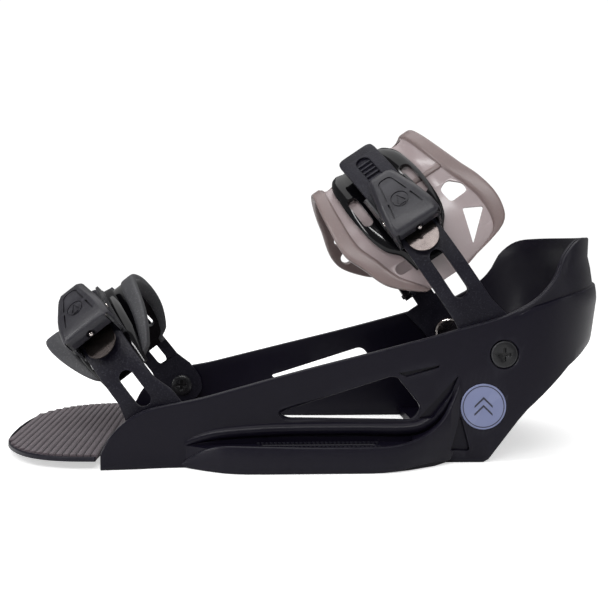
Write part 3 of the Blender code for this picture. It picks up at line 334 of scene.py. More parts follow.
def worked(obj, joins=(), cuts=(), sharp=35):
    """Joins meshes to an object and then cuts meshes from it."""
    helpers = []
    for operation, meshes in (("UNION", joins), ("DIFFERENCE", cuts)):
        for mesh in meshes:
            helper = make_object("guide", mesh)
            helpers.append(helper)
            modifier = obj.modifiers.new(operation, "BOOLEAN")
            modifier.operation = operation
            modifier.solver = "EXACT"
            modifier.object = helper
    settled(obj)
    for helper in helpers:
        bpy.data.objects.remove(helper, do_unlink=True)
    bm = bmesh.new()
    bm.from_mesh(obj.data)
    bmesh.ops.remove_doubles(bm, verts=bm.verts, dist=1e-6)
    bmesh.ops.dissolve_degenerate(bm, edges=bm.edges, dist=1e-6)
    bm.to_mesh(obj.data)
    bm.free()
    obj.data.shade_smooth()
    obj.data.set_sharp_from_angle(angle=math.radians(sharp))
    return obj


def bevelled(obj, width, segments=2, angle=35, flat=0.5):
    """Rounds the sharp edges, after flat faces are made whole."""
    bm = bmesh.new()
    bm.from_mesh(obj.data)
    bmesh.ops.dissolve_limit(
        bm, angle_limit=math.radians(flat), verts=bm.verts, edges=bm.edges, use_dissolve_boundaries=False
    )
    bm.to_mesh(obj.data)
    bm.free()
    modifier = obj.modifiers.new("edges", "BEVEL")
    modifier.width = width * MM
    modifier.segments = segments
    modifier.limit_method = "ANGLE"
    modifier.angle_limit = math.radians(angle)
    modifier.use_clamp_overlap = True
    modifier.harden_normals = True
    settled(obj)
    return obj


def from_node(name, node, width=0.25, segments=2, angle=35, sharp=35):
    """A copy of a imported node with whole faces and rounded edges."""
    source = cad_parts[node].data
    bm = bmesh.new()
    bm.from_mesh(source)
    bmesh.ops.remove_doubles(bm, verts=bm.verts, dist=2e-6)
    bmesh.ops.dissolve_degenerate(bm, edges=bm.edges, dist=2e-6)
    mesh = bpy.data.meshes.new(name)
    bm.to_mesh(mesh)
    bm.free()
    mesh.materials.clear()
    mesh.shade_smooth()
    mesh.set_sharp_from_angle(angle=math.radians(sharp))
    obj = make_object(name, mesh)
    if width:
        bevelled(obj, width, segments, angle)
    return obj


def finished(obj, body, finish, slot, *nodes):
    """Gives a piece its material or materials and its body, and hides the nodes it stands for."""
    materials = finish if isinstance(finish, tuple) else (finish,)
    slots = obj.data.materials
    for i in range(len(slots)):
        slots[i] = materials[min(i, len(materials) - 1)]
    for material in materials[len(slots):]:
        slots.append(material)
    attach(obj, body)
    if nodes:
        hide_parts(*nodes)
    return obj


# Geometry node trees


def new_tree(name, sockets):
    """A geometry tree with named inputs: (name, socket type, default)."""
    tree = bpy.data.node_groups.new(name, "GeometryNodeTree")
    tree.interface.new_socket("Geometry", in_out="INPUT", socket_type="NodeSocketGeometry")
    for label, kind, default in sockets:
        made = tree.interface.new_socket(label, in_out="INPUT", socket_type=kind)
        if default is not None:
            made.default_value = default
    tree.interface.new_socket("Geometry", in_out="OUTPUT", socket_type="NodeSocketGeometry")
    return tree, tree.nodes.new("NodeGroupInput"), tree.nodes.new("NodeGroupOutput")


def painted_output(tree, given, result, geometry):
    """Ends a tree: makes the geometry real and gives it the tree's material."""
    real = tree.nodes.new("GeometryNodeRealizeInstances")
    paint = tree.nodes.new("GeometryNodeSetMaterial")
    tree.links.new(geometry, real.inputs["Geometry"])
    tree.links.new(real.outputs["Geometry"], paint.inputs["Geometry"])
    tree.links.new(given.outputs["Material"], paint.inputs["Material"])
    tree.links.new(paint.outputs["Geometry"], result.inputs["Geometry"])
    return tree


def bars_tree():
    """Turns every edge of a guide mesh into a bar with bevelled sides."""
    sockets = [
        ("Width", "NodeSocketFloat", 0.002), ("Top Width", "NodeSocketFloat", 0.001),
        ("Height", "NodeSocketFloat", 0.001), ("Material", "NodeSocketMaterial", None),
    ]
    tree, given, result = new_tree("bars_on_guides", sockets)
    add, link = tree.nodes.new, tree.links.new
    curve = add("GeometryNodeMeshToCurve")
    link(given.outputs["Geometry"], curve.inputs["Mesh"])
    section = add("GeometryNodeCurvePrimitiveQuadrilateral")
    section.mode = "TRAPEZOID"
    link(given.outputs["Width"], section.inputs["Bottom Width"])
    link(given.outputs["Top Width"], section.inputs["Top Width"])
    link(given.outputs["Height"], section.inputs["Height"])
    section.inputs["Offset"].default_value = 0
    solid = add("GeometryNodeCurveToMesh")
    solid.inputs["Fill Caps"].default_value = True
    link(curve.outputs["Curve"], solid.inputs["Curve"])
    link(section.outputs["Curve"], solid.inputs["Profile Curve"])
    return painted_output(tree, given, result, solid.outputs["Mesh"])


def teeth_tree():
    """A row of wedge teeth on an arc in the YZ plane, from the mesh of one tooth."""
    sockets = [
        ("Radius", "NodeSocketFloat", 0.1), ("First Angle", "NodeSocketFloat", 0.0),
        ("Angle Step", "NodeSocketFloat", 0.03), ("Count", "NodeSocketInt", 10),
        ("Centre", "NodeSocketVector", None), ("Material", "NodeSocketMaterial", None),
    ]
    tree, given, result = new_tree("teeth_on_arc", sockets)
    add, link = tree.nodes.new, tree.links.new

    def maths(kind, a, b=None):
        node = add("ShaderNodeMath")
        node.operation = kind
        for socket, value in zip(node.inputs, (a, b)):
            if isinstance(value, (int, float)):
                socket.default_value = value
            elif value is not None:
                link(value, socket)
        return node.outputs[0]

    row = add("GeometryNodeMeshLine")
    link(given.outputs["Count"], row.inputs["Count"])
    step = maths("MULTIPLY", add("GeometryNodeInputIndex").outputs[0], given.outputs["Angle Step"])
    angle = maths("ADD", step, given.outputs["First Angle"])
    side = maths("MULTIPLY", maths("COSINE", angle), maths("MULTIPLY", given.outputs["Radius"], -1.0))
    rise = maths("MULTIPLY", maths("SINE", angle), given.outputs["Radius"])
    spot = add("ShaderNodeCombineXYZ")
    link(side, spot.inputs["Y"])
    link(rise, spot.inputs["Z"])
    shift = add("ShaderNodeVectorMath")
    shift.operation = "ADD"
    link(spot.outputs[0], shift.inputs[0])
    link(given.outputs["Centre"], shift.inputs[1])
    placed = add("GeometryNodeSetPosition")
    link(row.outputs["Mesh"], placed.inputs["Geometry"])
    link(shift.outputs[0], placed.inputs["Position"])
    turn = add("ShaderNodeCombineXYZ")
    link(maths("MULTIPLY", angle, -1.0), turn.inputs["X"])
    copies = add("GeometryNodeInstanceOnPoints")
    link(placed.outputs["Geometry"], copies.inputs["Points"])
    link(given.outputs["Geometry"], copies.inputs["Instance"])
    link(turn.outputs[0], copies.inputs["Rotation"])
    return painted_output(tree, given, result, copies.outputs["Instances"])


def grown_by(obj, tree, values):
    """Runs a geometry tree on an object with its inputs given by name, and keeps the result as a mesh."""
    modifier = obj.modifiers.new("tree", "NODES")
    modifier.node_group = tree
    for item in tree.interface.items_tree:
        if item.in_out == "INPUT" and item.name in values:
            modifier[item.identifier] = values[item.name]
    return settled(obj)


def guide_mesh(name, lines, place=DESIGN):
    """A mesh of separate edges, each given by its two ends in millimetres."""
    bm = bmesh.new()
    for a, b in lines:
        bm.edges.new((bm.verts.new(a), bm.verts.new(b)))
    bm.transform(place)
    mesh = bpy.data.meshes.new(name)
    bm.to_mesh(mesh)
    bm.free()
    return mesh


def tree_named(name):
    made = bpy.data.node_groups.get(name)
    return made or {"bars_on_guides": bars_tree, "teeth_on_arc": teeth_tree}[name]()


# Chassis


def heel_reach(z):
    pull = [
        (55, HEEL_FOOT_PULL), (HEEL_BULGE_Z, 0), (96, 2.6), (104, HEEL_RIM_PULL), (120, HEEL_RIM_PULL)
    ]
    return HEEL_REACH - lerp(pull, z)


def rail_plan(x, z):
    """Outer half width of the chassis at x and height z."""
    if x <= HEEL_START_X:
        return smooth(RAIL_HALF_WIDTH, x)
    return RAIL_HALF_WIDTH[-1][1] * math.sqrt(max(0.0, 1 - ((x - HEEL_START_X) / heel_reach(z)) ** 2))


def wall_section(top, low, crease):
    """The wall's section as (height, inset from the outer face), round from the outer foot."""
    step = CREASE_STEP * min(max((top - crease) / 5, 0), 1)
    crease = min(crease, top - 3)
    tall = crease - low
    section = [(low, 1.2), (low + 0.3, 0.45), (low + 1.0, 0.05)]
    section += [(low + tall * part, 0) for part in (0.18, 0.36, 0.54, 0.72, 0.86, 0.95)]
    section += [(crease - 0.35, 0), (crease + 0.05, 0.16 * step), (crease + 0.4, step)]
    section += [(crease + (top - crease) * part, step * (1 - 0.5 * part)) for part in (0.35, 0.6)]
    lip = step * 0.5
    section += [
        (top - 1.0, lip), (top - 0.3, lip + 0.25), (top, lip + 0.75), (top, lip + 1.2),
        (top - 0.42, lip + 1.36),
        (top - 0.42, lip + 1.72), (top - 0.04, lip + 1.9), (top - 0.04, WALL - 0.7),
        (top - 0.35, WALL - 0.15),
        (top - 1.0, WALL),
    ]
    section += [(low + (top - low) * part, WALL) for part in (0.85, 0.68, 0.5, 0.32, 0.16)]
    return section + [(low + 0.8, WALL), (low + 0.2, WALL - 0.25), (low, WALL - 0.8)]


def wall_ring(x, angle, side):
    """Section of the wall at x along the rails, or at an angle round the heel."""
    width = RAIL_HALF_WIDTH[-1][1]
    if angle is None:
        spot = Vector((x, smooth(RAIL_HALF_WIDTH, x)))
        ahead = Vector((x + 1, smooth(RAIL_HALF_WIDTH, x + 1)))
        along = (ahead - spot).normalized()
        inward = Vector((along.y, -along.x))
        turn = 0.0
    else:
        turn, flat = math.sin(math.radians(angle)), math.cos(math.radians(angle))
        spot = Vector((HEEL_START_X + HEEL_REACH * turn, width * flat))
        inward = -Vector((turn / HEEL_REACH, flat / width)).normalized()
    top = smooth(RAIL_TOP, spot.x - HEEL_RIM_PULL * turn)
    low = lerp(UNDERSIDE, spot.x - HEEL_FOOT_PULL * turn)
    ring = []
    for z, inset in wall_section(top, low, smooth(CREASE, spot.x)):
        pull = (HEEL_REACH - heel_reach(z)) * turn
        place = spot + inward * inset - Vector((pull, 0))
        ring.append((place.x, side * place.y, z))
    return ring


def wall_mesh():
    stations = [RAIL_FRONT_X + d for d in (0, 0.6, 1.2, 2)]
    stations += [-103.0 + 2.5 * i for i in range(83)]
    one_side = [wall_ring(x, None, -1) for x in stations]
    one_side += [wall_ring(0, 3.0 * i, -1) for i in range(1, 30)]
    other_side = [[(x, -y, z) for x, y, z in ring] for ring in reversed(one_side)]
    return loft("wall", one_side + [wall_ring(0, 90, -1)] + other_side, sharp=30)


def heel_floor_mesh():
    """The plate between the rails that slopes up under the heel."""
    rings = []
    for i in range(46):
        x = 64.5 + 2 * i
        low = lerp(UNDERSIDE, x) + HEEL_FLOOR_LIFT
        half = rail_plan(x, low) - 2.2
        rings.append([(x, -half, low), (x, half, low), (x, half, low + 4.5), (x, -half, low + 4.5)])
    return loft("heel_floor", rings)


def flange_mesh(side):
    """The wall round one side flange, sweeping up into the rail as a brace."""
    rings = []
    steps = 4 * (len(FLANGE_PATH) - 1)
    for i in range(steps + 1):
        x, y, low, top = smooth_row(FLANGE_PATH, i / 4)
        low += FLANGE_LIFT
        nearby = smooth_row(FLANGE_PATH, min(i / 4 + 0.2, len(FLANGE_PATH) - 1))
        behind = smooth_row(FLANGE_PATH, max(i / 4 - 0.2, 0))
        along = Vector((nearby[0] - behind[0], nearby[1] - behind[1])).normalized()
        inward = Vector((along.y, -along.x))
        wall = min(FLANGE_WALL, max(y - FLANGE_FOOT_Y, 0.6))
        tall = top - low
        section = [
            (low, 1.0), (low + min(0.3, tall / 5), 0.35), (low + min(1.0, tall / 3), 0),
            (low + tall * 0.5, -0.15),
            (top - min(1.1, tall / 4), 0), (top - min(0.35, tall / 8), 0.25), (top, 0.85),
            (top, wall - 0.7), (top - 0.3, wall - 0.15), (top - min(0.9, tall / 4), wall),
        ]
        ring = []
        for z, inset in section:
            spot = Vector((x, y)) + inward * inset
            ring.append((spot.x, side * spot.y, z))
        foot = FLANGE_FOOT_Y if x > 48 or x < -60 else y - wall
        ring.append((x, side * min(foot, y - wall), max(low, top - min(0.9, tall / 4) - 0.5)))
        ring.append((x, side * min(foot, y - wall), low))
        rings.append(ring)
    return loft("flange", rings, sharp=40)


def lip_mesh(side):
    """The rounded lip of a rail over its pocket."""
    rings = []
    steps = 4 * (len(LIP_PATH) - 1)
    for i in range(steps + 1):
        x, y, z, radius = smooth_row(LIP_PATH, i / 4)
        ahead = smooth_row(LIP_PATH, min(i / 4 + 0.2, len(LIP_PATH) - 1))
        behind = smooth_row(LIP_PATH, max(i / 4 - 0.2, 0))
        along = Vector((ahead[0] - behind[0], ahead[2] - behind[2])).normalized()
        inside = rail_plan(x, z) - 0.75 * WALL
        ring = []
        for a, b in circle((0, 0), radius, 24):
            ring.append((x - along.y * b, side * max(y + a, inside), z + along.x * b))
        rings.append(ring)
    return loft("lip", rings, sharp=50)


def side_cut(name, outline, side, levels):
    """A cutter through one rail. levels lists (distance from the middle, outward growth)."""
    return prism(name, outline, "y", [(side * y, by) for y, by in levels])


def chassis_cuts(side):
    cuts = [
        side_cut(
            "window", rounded(WINDOW, 4), side,
            [(59, 1.6), (62.6, 0.5), (63.2, 0), (66.0, 0), (66.7, 0.5), (67.6, 1.5), (76, 1.8)]
        ),
        side_cut("slit", rounded(SLIT, 0.6, 4), side, [(64.9, 0), (80, 0)]),
        side_cut("brace_slit", rounded(BRACE_SLIT, 1.2, 4), side, [(64.9, 0), (80, 0)]),
        side_cut("pocket", rounded(POCKET, 2.0, 4), side, [(64.8, 0), (80, 0)]),
        side_cut(
            "badge", circle(BADGE_AT, BADGE_RADIUS + 0.3, 96), side,
            [(66.2, 0), (67.0, 0.0), (67.5, 0.4), (80, 0.4)]
        ),
    ]
    slot = stadium((0, side * SLOT_CENTRE_Y), SLOT_HALF_LENGTH, SLOT_HALF_WIDTH)
    cuts.append(
        prism(
            "slot", slot, "z",
            [(-2, 0.9), (0.6, 0), (POCKET_FLOOR - 0.5, 0), (POCKET_FLOOR + 0.4, 0.8), (13, 0.8)]
        )
    )
    x, z = ANKLE["pivot"]
    place = DESIGN @ Matrix.Translation((x, 0, z))
    bore = [(58, 4.4), (64.6, 4.4), (64.61, 7.3), (66.6, 7.3), (67.4, 8.0), (80, 8.2)]
    cuts.append(turned("bore", [(side * y, r) for y, r in bore], place=place))
    x, z = TOE["pivot"]
    cuts.append(
        turned(
            "blind", [(side * 60, 3.4), (side * 71.4, 3.4)], place=DESIGN @ Matrix.Translation((x, 0, z))
        )
    )
    return cuts


def make_chassis():
    chassis = make_object("chassis_shell", wall_mesh())
    bridge = [(-104.5, 72), (-90, 73), (-50, 69.5)]
    bridge += [(x, -y) for x, y in reversed(bridge)]
    joins = [heel_floor_mesh(), prism("bridge", bridge, "z", [(0.15, 0), (2.4, 0)])]
    cuts = []
    for side in (-1, 1):
        floor = [(x, side * y) for x, y in FLOOR_PLAN]
        joins += [
            prism("floor", floor, "z", [(0.3, 0), (POCKET_FLOOR, 0)]), flange_mesh(side), lip_mesh(side)
        ]
        cuts += chassis_cuts(side)
    return worked(chassis, joins, cuts, 30)


# Straps


class Strap:
    """Shape of one strap in its own frame: X across it, Z up from the side pivots."""

    def __init__(self, plan):
        self.name = plan["name"]
        self.side = plan["side"]
        self.centre = Vector(plan["centre"])
        self.radius = self.centre.x + self.side
        self.buckle_angle = plan["buckle_angle"]
        self.tip_angle = plan["tip_angle"]
        self.slot = plan["slot"]
        x, z = plan["pivot"]
        lean = Matrix.Rotation(math.radians(-plan["lean"]), 4, "Y")
        self.place = DESIGN @ Matrix.Translation((x, 0, z)) @ lean
        spot = self.on_ladder(self.buckle_angle)
        turn = Matrix.Rotation(math.radians(-self.buckle_angle), 4, "X")
        self.buckle = self.place @ Matrix.Translation((0, spot.x, spot.y)) @ turn
        self.points = self.arch_points(**plan["arch"])

    def arch_points(self, y0, half, foot, rise, near, far):
        """The arch as evenly spaced (y, z) points from the lateral foot to the medial foot."""
        dense = []
        fine = 4 * ARCH_STEPS
        for i in range(fine + 1):
            angle = math.pi * i / fine
            power = 2 / (near if i < fine / 2 else far)
            c, s = math.cos(angle), max(math.sin(angle), 0)
            dense.append(Vector((y0 - half * math.copysign(abs(c) ** power, c), foot + rise * s**power)))
        lengths = [0.0]
        for a, b in zip(dense, dense[1:]):
            lengths.append(lengths[-1] + (b - a).length)
        points = []
        k = 0
        for i in range(ARCH_STEPS + 1):
            want = lengths[-1] * i / ARCH_STEPS
            while k < len(lengths) - 2 and lengths[k + 1] < want:
                k += 1
            t = (want - lengths[k]) / (lengths[k + 1] - lengths[k])
            points.append(dense[k].lerp(dense[k + 1], t))
        return points

    def on_arch(self, part, offset=0.0):
        """Point and outward direction at a part from 0 to 1 of the arch."""
        at = min(max(part, 0), 1) * ARCH_STEPS
        i = min(int(at), ARCH_STEPS - 1)
        spot = self.points[i].lerp(self.points[i + 1], at - i)
        low, high = self.points[max(i - 3, 0)], self.points[min(i + 4, ARCH_STEPS)]
        along = (high - low).normalized()
        if 3 <= i < ARCH_STEPS - 4:
            later = (self.points[i + 5] - self.points[i - 2]).normalized()
            along = along.lerp(later, at - i).normalized()
        outward = Vector((-along.y, along.x))
        return spot + outward * offset, outward

    def part_at_height(self, height, medial=False):
        """The part of the arch at a height, on the lateral or the medial side."""
        found = [i for i in range(ARCH_STEPS + 1) if (i > ARCH_STEPS / 2) == medial]
        return min(found, key=lambda i: abs(self.points[i].y - height)) / ARCH_STEPS

    def on_ladder(self, angle, outward=0.0):
        """Point (y, z) at an angle up the ladder's curve."""
        turn = math.radians(angle)
        reach = self.radius + outward
        return Vector((self.centre.x - reach * math.cos(turn), self.centre.y + reach * math.sin(turn)))

    def arch_place(self, part, x=0.0, offset=0.0):
        """Placement whose X is across the strap, Y along the arch and Z outward."""
        spot, outward = self.on_arch(part, offset)
        matrix = Matrix.Identity(4)
        matrix.col[1][:3] = (0, outward.y, -outward.x)
        matrix.col[2][:3] = (0, outward.x, outward.y)
        matrix.translation = (x, spot.x, spot.y)
        return self.place @ matrix


STRAPS = {plan["name"]: Strap(plan) for plan in (ANKLE, TOE)}


def band_mesh(strap, name, start, end, front, back, layers, steps=96, sharp=50):
    """A band round the arch. layers lists (share of the width, inner, outer) offsets."""
    rings = []
    for i in range(steps + 1):
        part = start + (end - start) * i / steps
        left, right = smooth(front, part), smooth(back, part)
        outer, inner = [], []
        for share, low, high in layers:
            x = left + (right - left) * share
            spot, _ = strap.on_arch(part, high)
            outer.append((x, spot.x, spot.y))
            spot, _ = strap.on_arch(part, low)
            inner.append((x, spot.x, spot.y))
        rings.append(outer + inner[::-1])
    return loft(name, rings, strap.place, sharp)


def hole_cut(strap, outline, part, x=0.0, depth=9.0, rim=0.5):
    """A hole square to the arch with rounded rims, its outline across and along the strap."""
    levels = [(-depth, 1.2), (-1.9, 0.6 * rim), (-1.2, 0), (0.5, 0), (1.1, rim), (depth, 1.2)]
    return prism("hole", outline, "z", levels, strap.arch_place(part, x))


def paint_web(mesh, count, web_from):
    """Gives the faces between the two rims of a band of count layers the second material."""
    columns = [0] * (count - 1)
    columns[web_from:count - 1 - web_from] = [1] * (count - 1 - 2 * web_from)
    row = columns + [0] + columns[::-1] + [0]
    for i, face in enumerate(list(mesh.polygons)[: -2]):
        face.material_index = row[i % len(row)]


def two_finish_band(name, mesh, layers, rim):
    """An object of a rimmed band, with a material slot for its rim and one for its web."""
    web_from = sum(1 for share, _, _ in layers if share < rim * 1.05)
    paint_web(mesh, len(layers), web_from)
    for label in ("rim", "web"):
        mesh.materials.append(bpy.data.materials.new(f"{label}_holder"))
    return make_object(name, mesh)


def rivet_bore(strap):
    """The hole in a strap for the rivet of its buckle."""
    part = strap.part_at_height(strap.on_ladder(strap.buckle_angle).y - 5)
    outline = circle((0, 0), RIVET_BORE_RADIUS, 32)
    return prism("bore", outline, "z", [(-9, 0), (9, 0)], strap.arch_place(part))


def rimmed_layers(rim, thick, thin, edge=0.55):
    """Layers of a band with a thick round-edged rim and a thin web."""
    high, low = thick
    top, bottom = thin
    half = [
        (0, low + 0.9, high - 0.9),
        (rim * 0.04, low + 0.45, high - 0.38),
        (rim * 0.12, low + 0.12, high - 0.1),
        (rim * 0.25, low, high),
        (rim * 0.75, low, high),
        (rim * 0.92, low + 0.1, high - 0.12),
        (rim * 1.02, low + edge, high - 0.5),
        (rim * 1.1, bottom, top),
    ]
    middle = [(rim * 1.1 + (1 - 2.2 * rim) * part, bottom, top) for part in (0.2, 0.4, 0.6, 0.8)]
    return half + middle + [(1 - share, a, b) for share, a, b in reversed(half)]


def ladder_section(width, dip, track=TRACK_HALF_WIDTH):
    """Section of a ladder as (across, outward) points, with a track that is dip deep."""
    half = LADDER_THICKNESS / 2
    right = [
        (track - 0.01, half - dip), (track, half - min(0.3, dip)), (track + 0.35, half),
        (width - 0.7, half), (width - 0.2, half - 0.2), (width, half - 0.7),
        (width, 0.6 - half), (width - 0.2, 0.15 - half), (width - 0.7, -half),
    ]
    return [(-x, lift) for x, lift in reversed(right)] + right


def outward_at(degrees):
    """Outward direction of a ladder's arc at an angle."""
    turn = math.radians(degrees)
    return Vector((-math.cos(turn), math.sin(turn)))


def straight_stations(strap, width_at):
    """The straight part of a ladder as (height, half width): its round foot, then its run."""
    stations = []
    for i in range(17):
        z = -10.2 + 0.8 * i
        flat = math.sqrt(max(0.0, 1 - ((z - FOOT_CENTRE) / FOOT_RADIUS) ** 2))
        stations.append((z, max(4.8, LADDER_BASE_HALF_WIDTH * flat)))
    z = 4.0
    while z < strap.centre.y - 0.5:
        stations.append((z, smooth(width_at, z)))
        z += STATION_PITCH
    return stations


def track_stations(strap):
    """The curved part of a ladder as (angle, depth of the track, half width of the track)."""
    first = strap.buckle_angle - math.degrees(TRACK_START / strap.radius)
    last = strap.tip_angle - math.degrees(TRACK_END / strap.radius)
    step = math.degrees(STATION_PITCH / strap.radius)
    full = TRACK_HALF_WIDTH
    stations = [(step * i, NO_DEPTH, full) for i in range(int(first / step) + 1)]
    stations += [(first + 0.01, NO_DEPTH, full), (first + 0.3 * step, TRACK_DEPTH, full)]
    angle = first + step
    end_start = last - math.degrees(full / strap.radius)
    while angle < end_start - 0.4 * step:
        stations.append((angle, TRACK_DEPTH, full))
        angle += step
    for i in range(9):
        t = math.sin(math.pi / 2 * i / 8.5)
        angle = end_start + (last - end_start) * t
        stations.append((angle, TRACK_DEPTH, full * math.sqrt(1 - t**2)))
    stations.append((last + 0.1 * step, NO_DEPTH, 0.3))
    return stations


def tip_stations(strap):
    """The round tip of a ladder, past the end of its track, as (angle, half width)."""
    last = strap.tip_angle - math.degrees(TRACK_END / strap.radius)
    step = math.degrees(STATION_PITCH / strap.radius)
    stations = []
    for i in range(1, 13):
        t = i / 12
        angle = last + 0.3 * step + (strap.tip_angle - last - 0.3 * step) * (1 - (1 - t) ** 1.6)
        round_off = math.sqrt(max(0.0, 1 - t**3))
        stations.append((angle, TIP_HALF_WIDTH + (LADDER_HALF_WIDTH - TIP_HALF_WIDTH) * round_off))
    return stations


def make_ladder(name):
    """The toothed strap: flat beside the rail, then curved round the strap's arch."""
    strap = STRAPS[name]
    rings = []

    def add_ring(spot, outward, width, dip, track=TRACK_HALF_WIDTH):
        section = ladder_section(width, dip, track)
        rings.append([(x, *(spot + outward * lift)) for x, lift in section])

    taper_to = 26.0 if name == "ankle" else 22.0
    width_at = [
        (9, LADDER_BASE_HALF_WIDTH),
        (12, 13.9),
        (taper_to, LADDER_HALF_WIDTH + 0.1),
        (taper_to + 4, LADDER_HALF_WIDTH),
    ]
    for z, width in straight_stations(strap, width_at):
        add_ring(Vector((-strap.side, z)), Vector((-1, 0)), width, NO_DEPTH)
    for angle, depth, track in track_stations(strap):
        spot = strap.on_ladder(angle)
        add_ring(spot, outward_at(angle), smooth(width_at, spot.y), depth, track)
    for angle, width in tip_stations(strap):
        add_ring(strap.on_ladder(angle), outward_at(angle), width, NO_DEPTH)
    ladder = make_object(f"{name}_ladder_strap", loft("ladder", rings, strap.place, 32))
    low, high = strap.slot
    slot = stadium((0, (low + high) / 2), (high - low) / 2, 3.9, 10, True)
    reach = strap.side
    if name == "ankle":
        bore = 4.4
        levels = [(-90, 0.6), (-reach - 1.2, 0.5), (-reach, 0), (6 - reach, 0), (-20, 0)]
    else:
        bore = 3.4
        levels = [(-90, 0), (-20, 0)]
    cuts = [
        prism("slot", slot, "y", levels, strap.place),
        turned("bore", [(-80, bore), (-50, bore)], place=strap.place),
    ]
    return worked(ladder, cuts=cuts, sharp=32)


def make_teeth(name, material):
    """The ratchet teeth in the track of a ladder."""
    strap = STRAPS[name]
    tooth = [(-1.05, -0.25), (1.05, -0.25), (0.95, 0.15), (0.75, 0.95), (0.45, 0.95), (-0.9, 0.2)]
    half = TRACK_HALF_WIDTH - 0.15
    shape = prism("tooth", [(-a, b) for a, b in tooth], "x", [(-half, 0), (half, 0)], Matrix.Identity(4))
    shape.transform(Matrix.Rotation(math.pi / 2, 4, "X"))
    row = make_object(f"{name}_ladder_teeth", shape)
    first = strap.buckle_angle - math.degrees(TEETH_START / strap.radius)
    last = strap.tip_angle - math.degrees(TEETH_END / strap.radius)
    step = math.degrees(TOOTH_PITCH / strap.radius)
    values = {
        "Radius": strap.radius + LADDER_THICKNESS / 2 - 1.2, "First Angle": math.radians(first),
        "Angle Step": math.radians(step), "Count": int((last - first) / step) + 1,
        "Centre": (0.0, *strap.centre), "Material": material,
    }
    grown_by(row, tree_named("teeth_on_arc"), values)
    row.data.transform(strap.place)
    return row


def make_carrier(name):
    """The gloss plate between the strap and the buckle, open beside the ladder."""
    strap = STRAPS[name]
    if name == "ankle":
        heights = (57.0, 117.0)
        front = [
            (0.0, -8), (0.15, -13), (0.18, -18), (0.22, -21), (0.3, -22.5), (0.36, -22), (0.42, -20.5),
            (0.48, -15)
        ]
        windows = ((-16.8, 0.305, 10.0), (17.0, 0.30, 10.5))
        bolster = 0.11
    else:
        heights = (30.0, 68.5)
        front = [(0.0, -10), (0.1, -13), (0.2, -16), (0.4, -15), (0.5, -12)]
        windows = ()
        bolster = 0.16
    start, end = (strap.part_at_height(h) for h in heights)
    back = [(part, -x) for part, x in front]
    low = PAD_OUTSIDE + 0.3
    layers = [
        (0, low + 0.7, low + 0.9), (0.02, low + 0.2, low + 1.7), (0.05, low, low + 2.3),
        (bolster, low, low + 2.9), (bolster + 0.08, low, low + 2.2),
        (bolster + 0.1, low, low + 1.9), (0.5, low, low + 1.9),
    ]
    layers += [(1 - share, a, b) for share, a, b in reversed(layers[:-1])]
    carrier = make_object(
        f"{name}_carrier_plate", band_mesh(strap, "carrier", start, end, front, back, layers, 48, 40)
    )
    cuts = [
        hole_cut(strap, stadium((0, 0), reach, 2.3, 8, True), part, x, 9, 0.2)
        for x, part, reach in windows
    ]
    cuts.append(rivet_bore(strap))
    return worked(carrier, cuts=cuts, sharp=38)


ANKLE_FRONT = [
    (0.05, -13), (0.08, -21), (0.12, -28.5), (0.18, -33), (0.24, -37), (0.34, -35), (0.5, -30.5),
    (0.68, -34), (0.8, -37), (0.88, -26), (0.93, -12),
]
ANKLE_BACK = [
    (0.05, 14), (0.06, 22), (0.07, 33), (0.085, 41), (0.11, 45), (0.16, 47), (0.22, 45.5),
    (0.28, 42), (0.38, 38.5), (0.5, 37), (0.66, 38), (0.8, 40), (0.88, 34), (0.93, 14),
]
# Width of a rim as a share of its band
ANKLE_RIM_SHARE = 0.1
TOE_RIM_SHARE = 0.13


def make_ankle_pad():
    """The moulded ankle strap with a thick rim and its windows."""
    strap = STRAPS["ankle"]
    start = strap.part_at_height(45.5)
    end = strap.part_at_height(46.0, medial=True)
    layers = rimmed_layers(ANKLE_RIM_SHARE, (1.9, -2.6), (0.45, -0.75))
    mesh = band_mesh(strap, "ankle_pad", start, end, ANKLE_FRONT, ANKLE_BACK, layers, 110, 60)
    pad = two_finish_band("ankle_strap_pad", mesh, layers, ANKLE_RIM_SHARE)
    half_moon = rounded([(-5, -5.5), (6, -5), (6.5, 0), (0.5, 6.5), (-5.5, 4)], 2.6, 6)
    triangle = rounded([(-7.5, 9), (8, 9), (2, -13)], 2.5, 6)
    slim_triangle = rounded([(-2.5, 10), (7, 4.5), (-9, -9)], 1.5, 6)
    long_hole = stadium((0, 0), 9.0, 3.6, 8)
    crest_hole = stadium((0, 0), 10.0, 4.6, 8, True)
    holes = (
        (half_moon, 0.225, 30.0),
        (slim_triangle, 0.125, 30.5),
        (half_moon, 0.665, 27.0),
        (triangle, 0.8, 28.0),
        (stadium((0, 0), 8.0, 3.0, 8), 0.13, -12.0),
        (stadium((0, 0), 6.0, 2.6, 8), 0.155, 3.0),
        (long_hole, 0.8, -24.0),
        (long_hole, 0.74, -22.0),
        (crest_hole, 0.5, -20.0),
        (crest_hole, 0.5, 24.0),
    )
    rib = rounded([(16, -1.6), (33, -1.6), (33, 1.6), (16, 1.6)], 1.2, 4)
    levels = [(-2.0, -0.3), (-1.7, 0), (1.0, 0), (1.4, -0.4)]
    ribs = [prism("rib", rib, "z", levels, strap.arch_place(part)) for part in (0.3, 0.6)]
    cuts = [hole_cut(strap, outline, part, x) for outline, part, x in holes]
    cuts.append(rivet_bore(strap))
    return worked(pad, ribs, cuts, 60)


TOE_FRONT = [
    (0.1, -10), (0.14, -17), (0.24, -25), (0.36, -31), (0.5, -34), (0.64, -31), (0.76, -25),
    (0.86, -17), (0.9, -10),
]
TOE_BACK = [
    (0.1, 11), (0.12, 17), (0.22, 25), (0.35, 27.5), (0.5, 27), (0.65, 27.5), (0.78, 25),
    (0.88, 17), (0.9, 11),
]


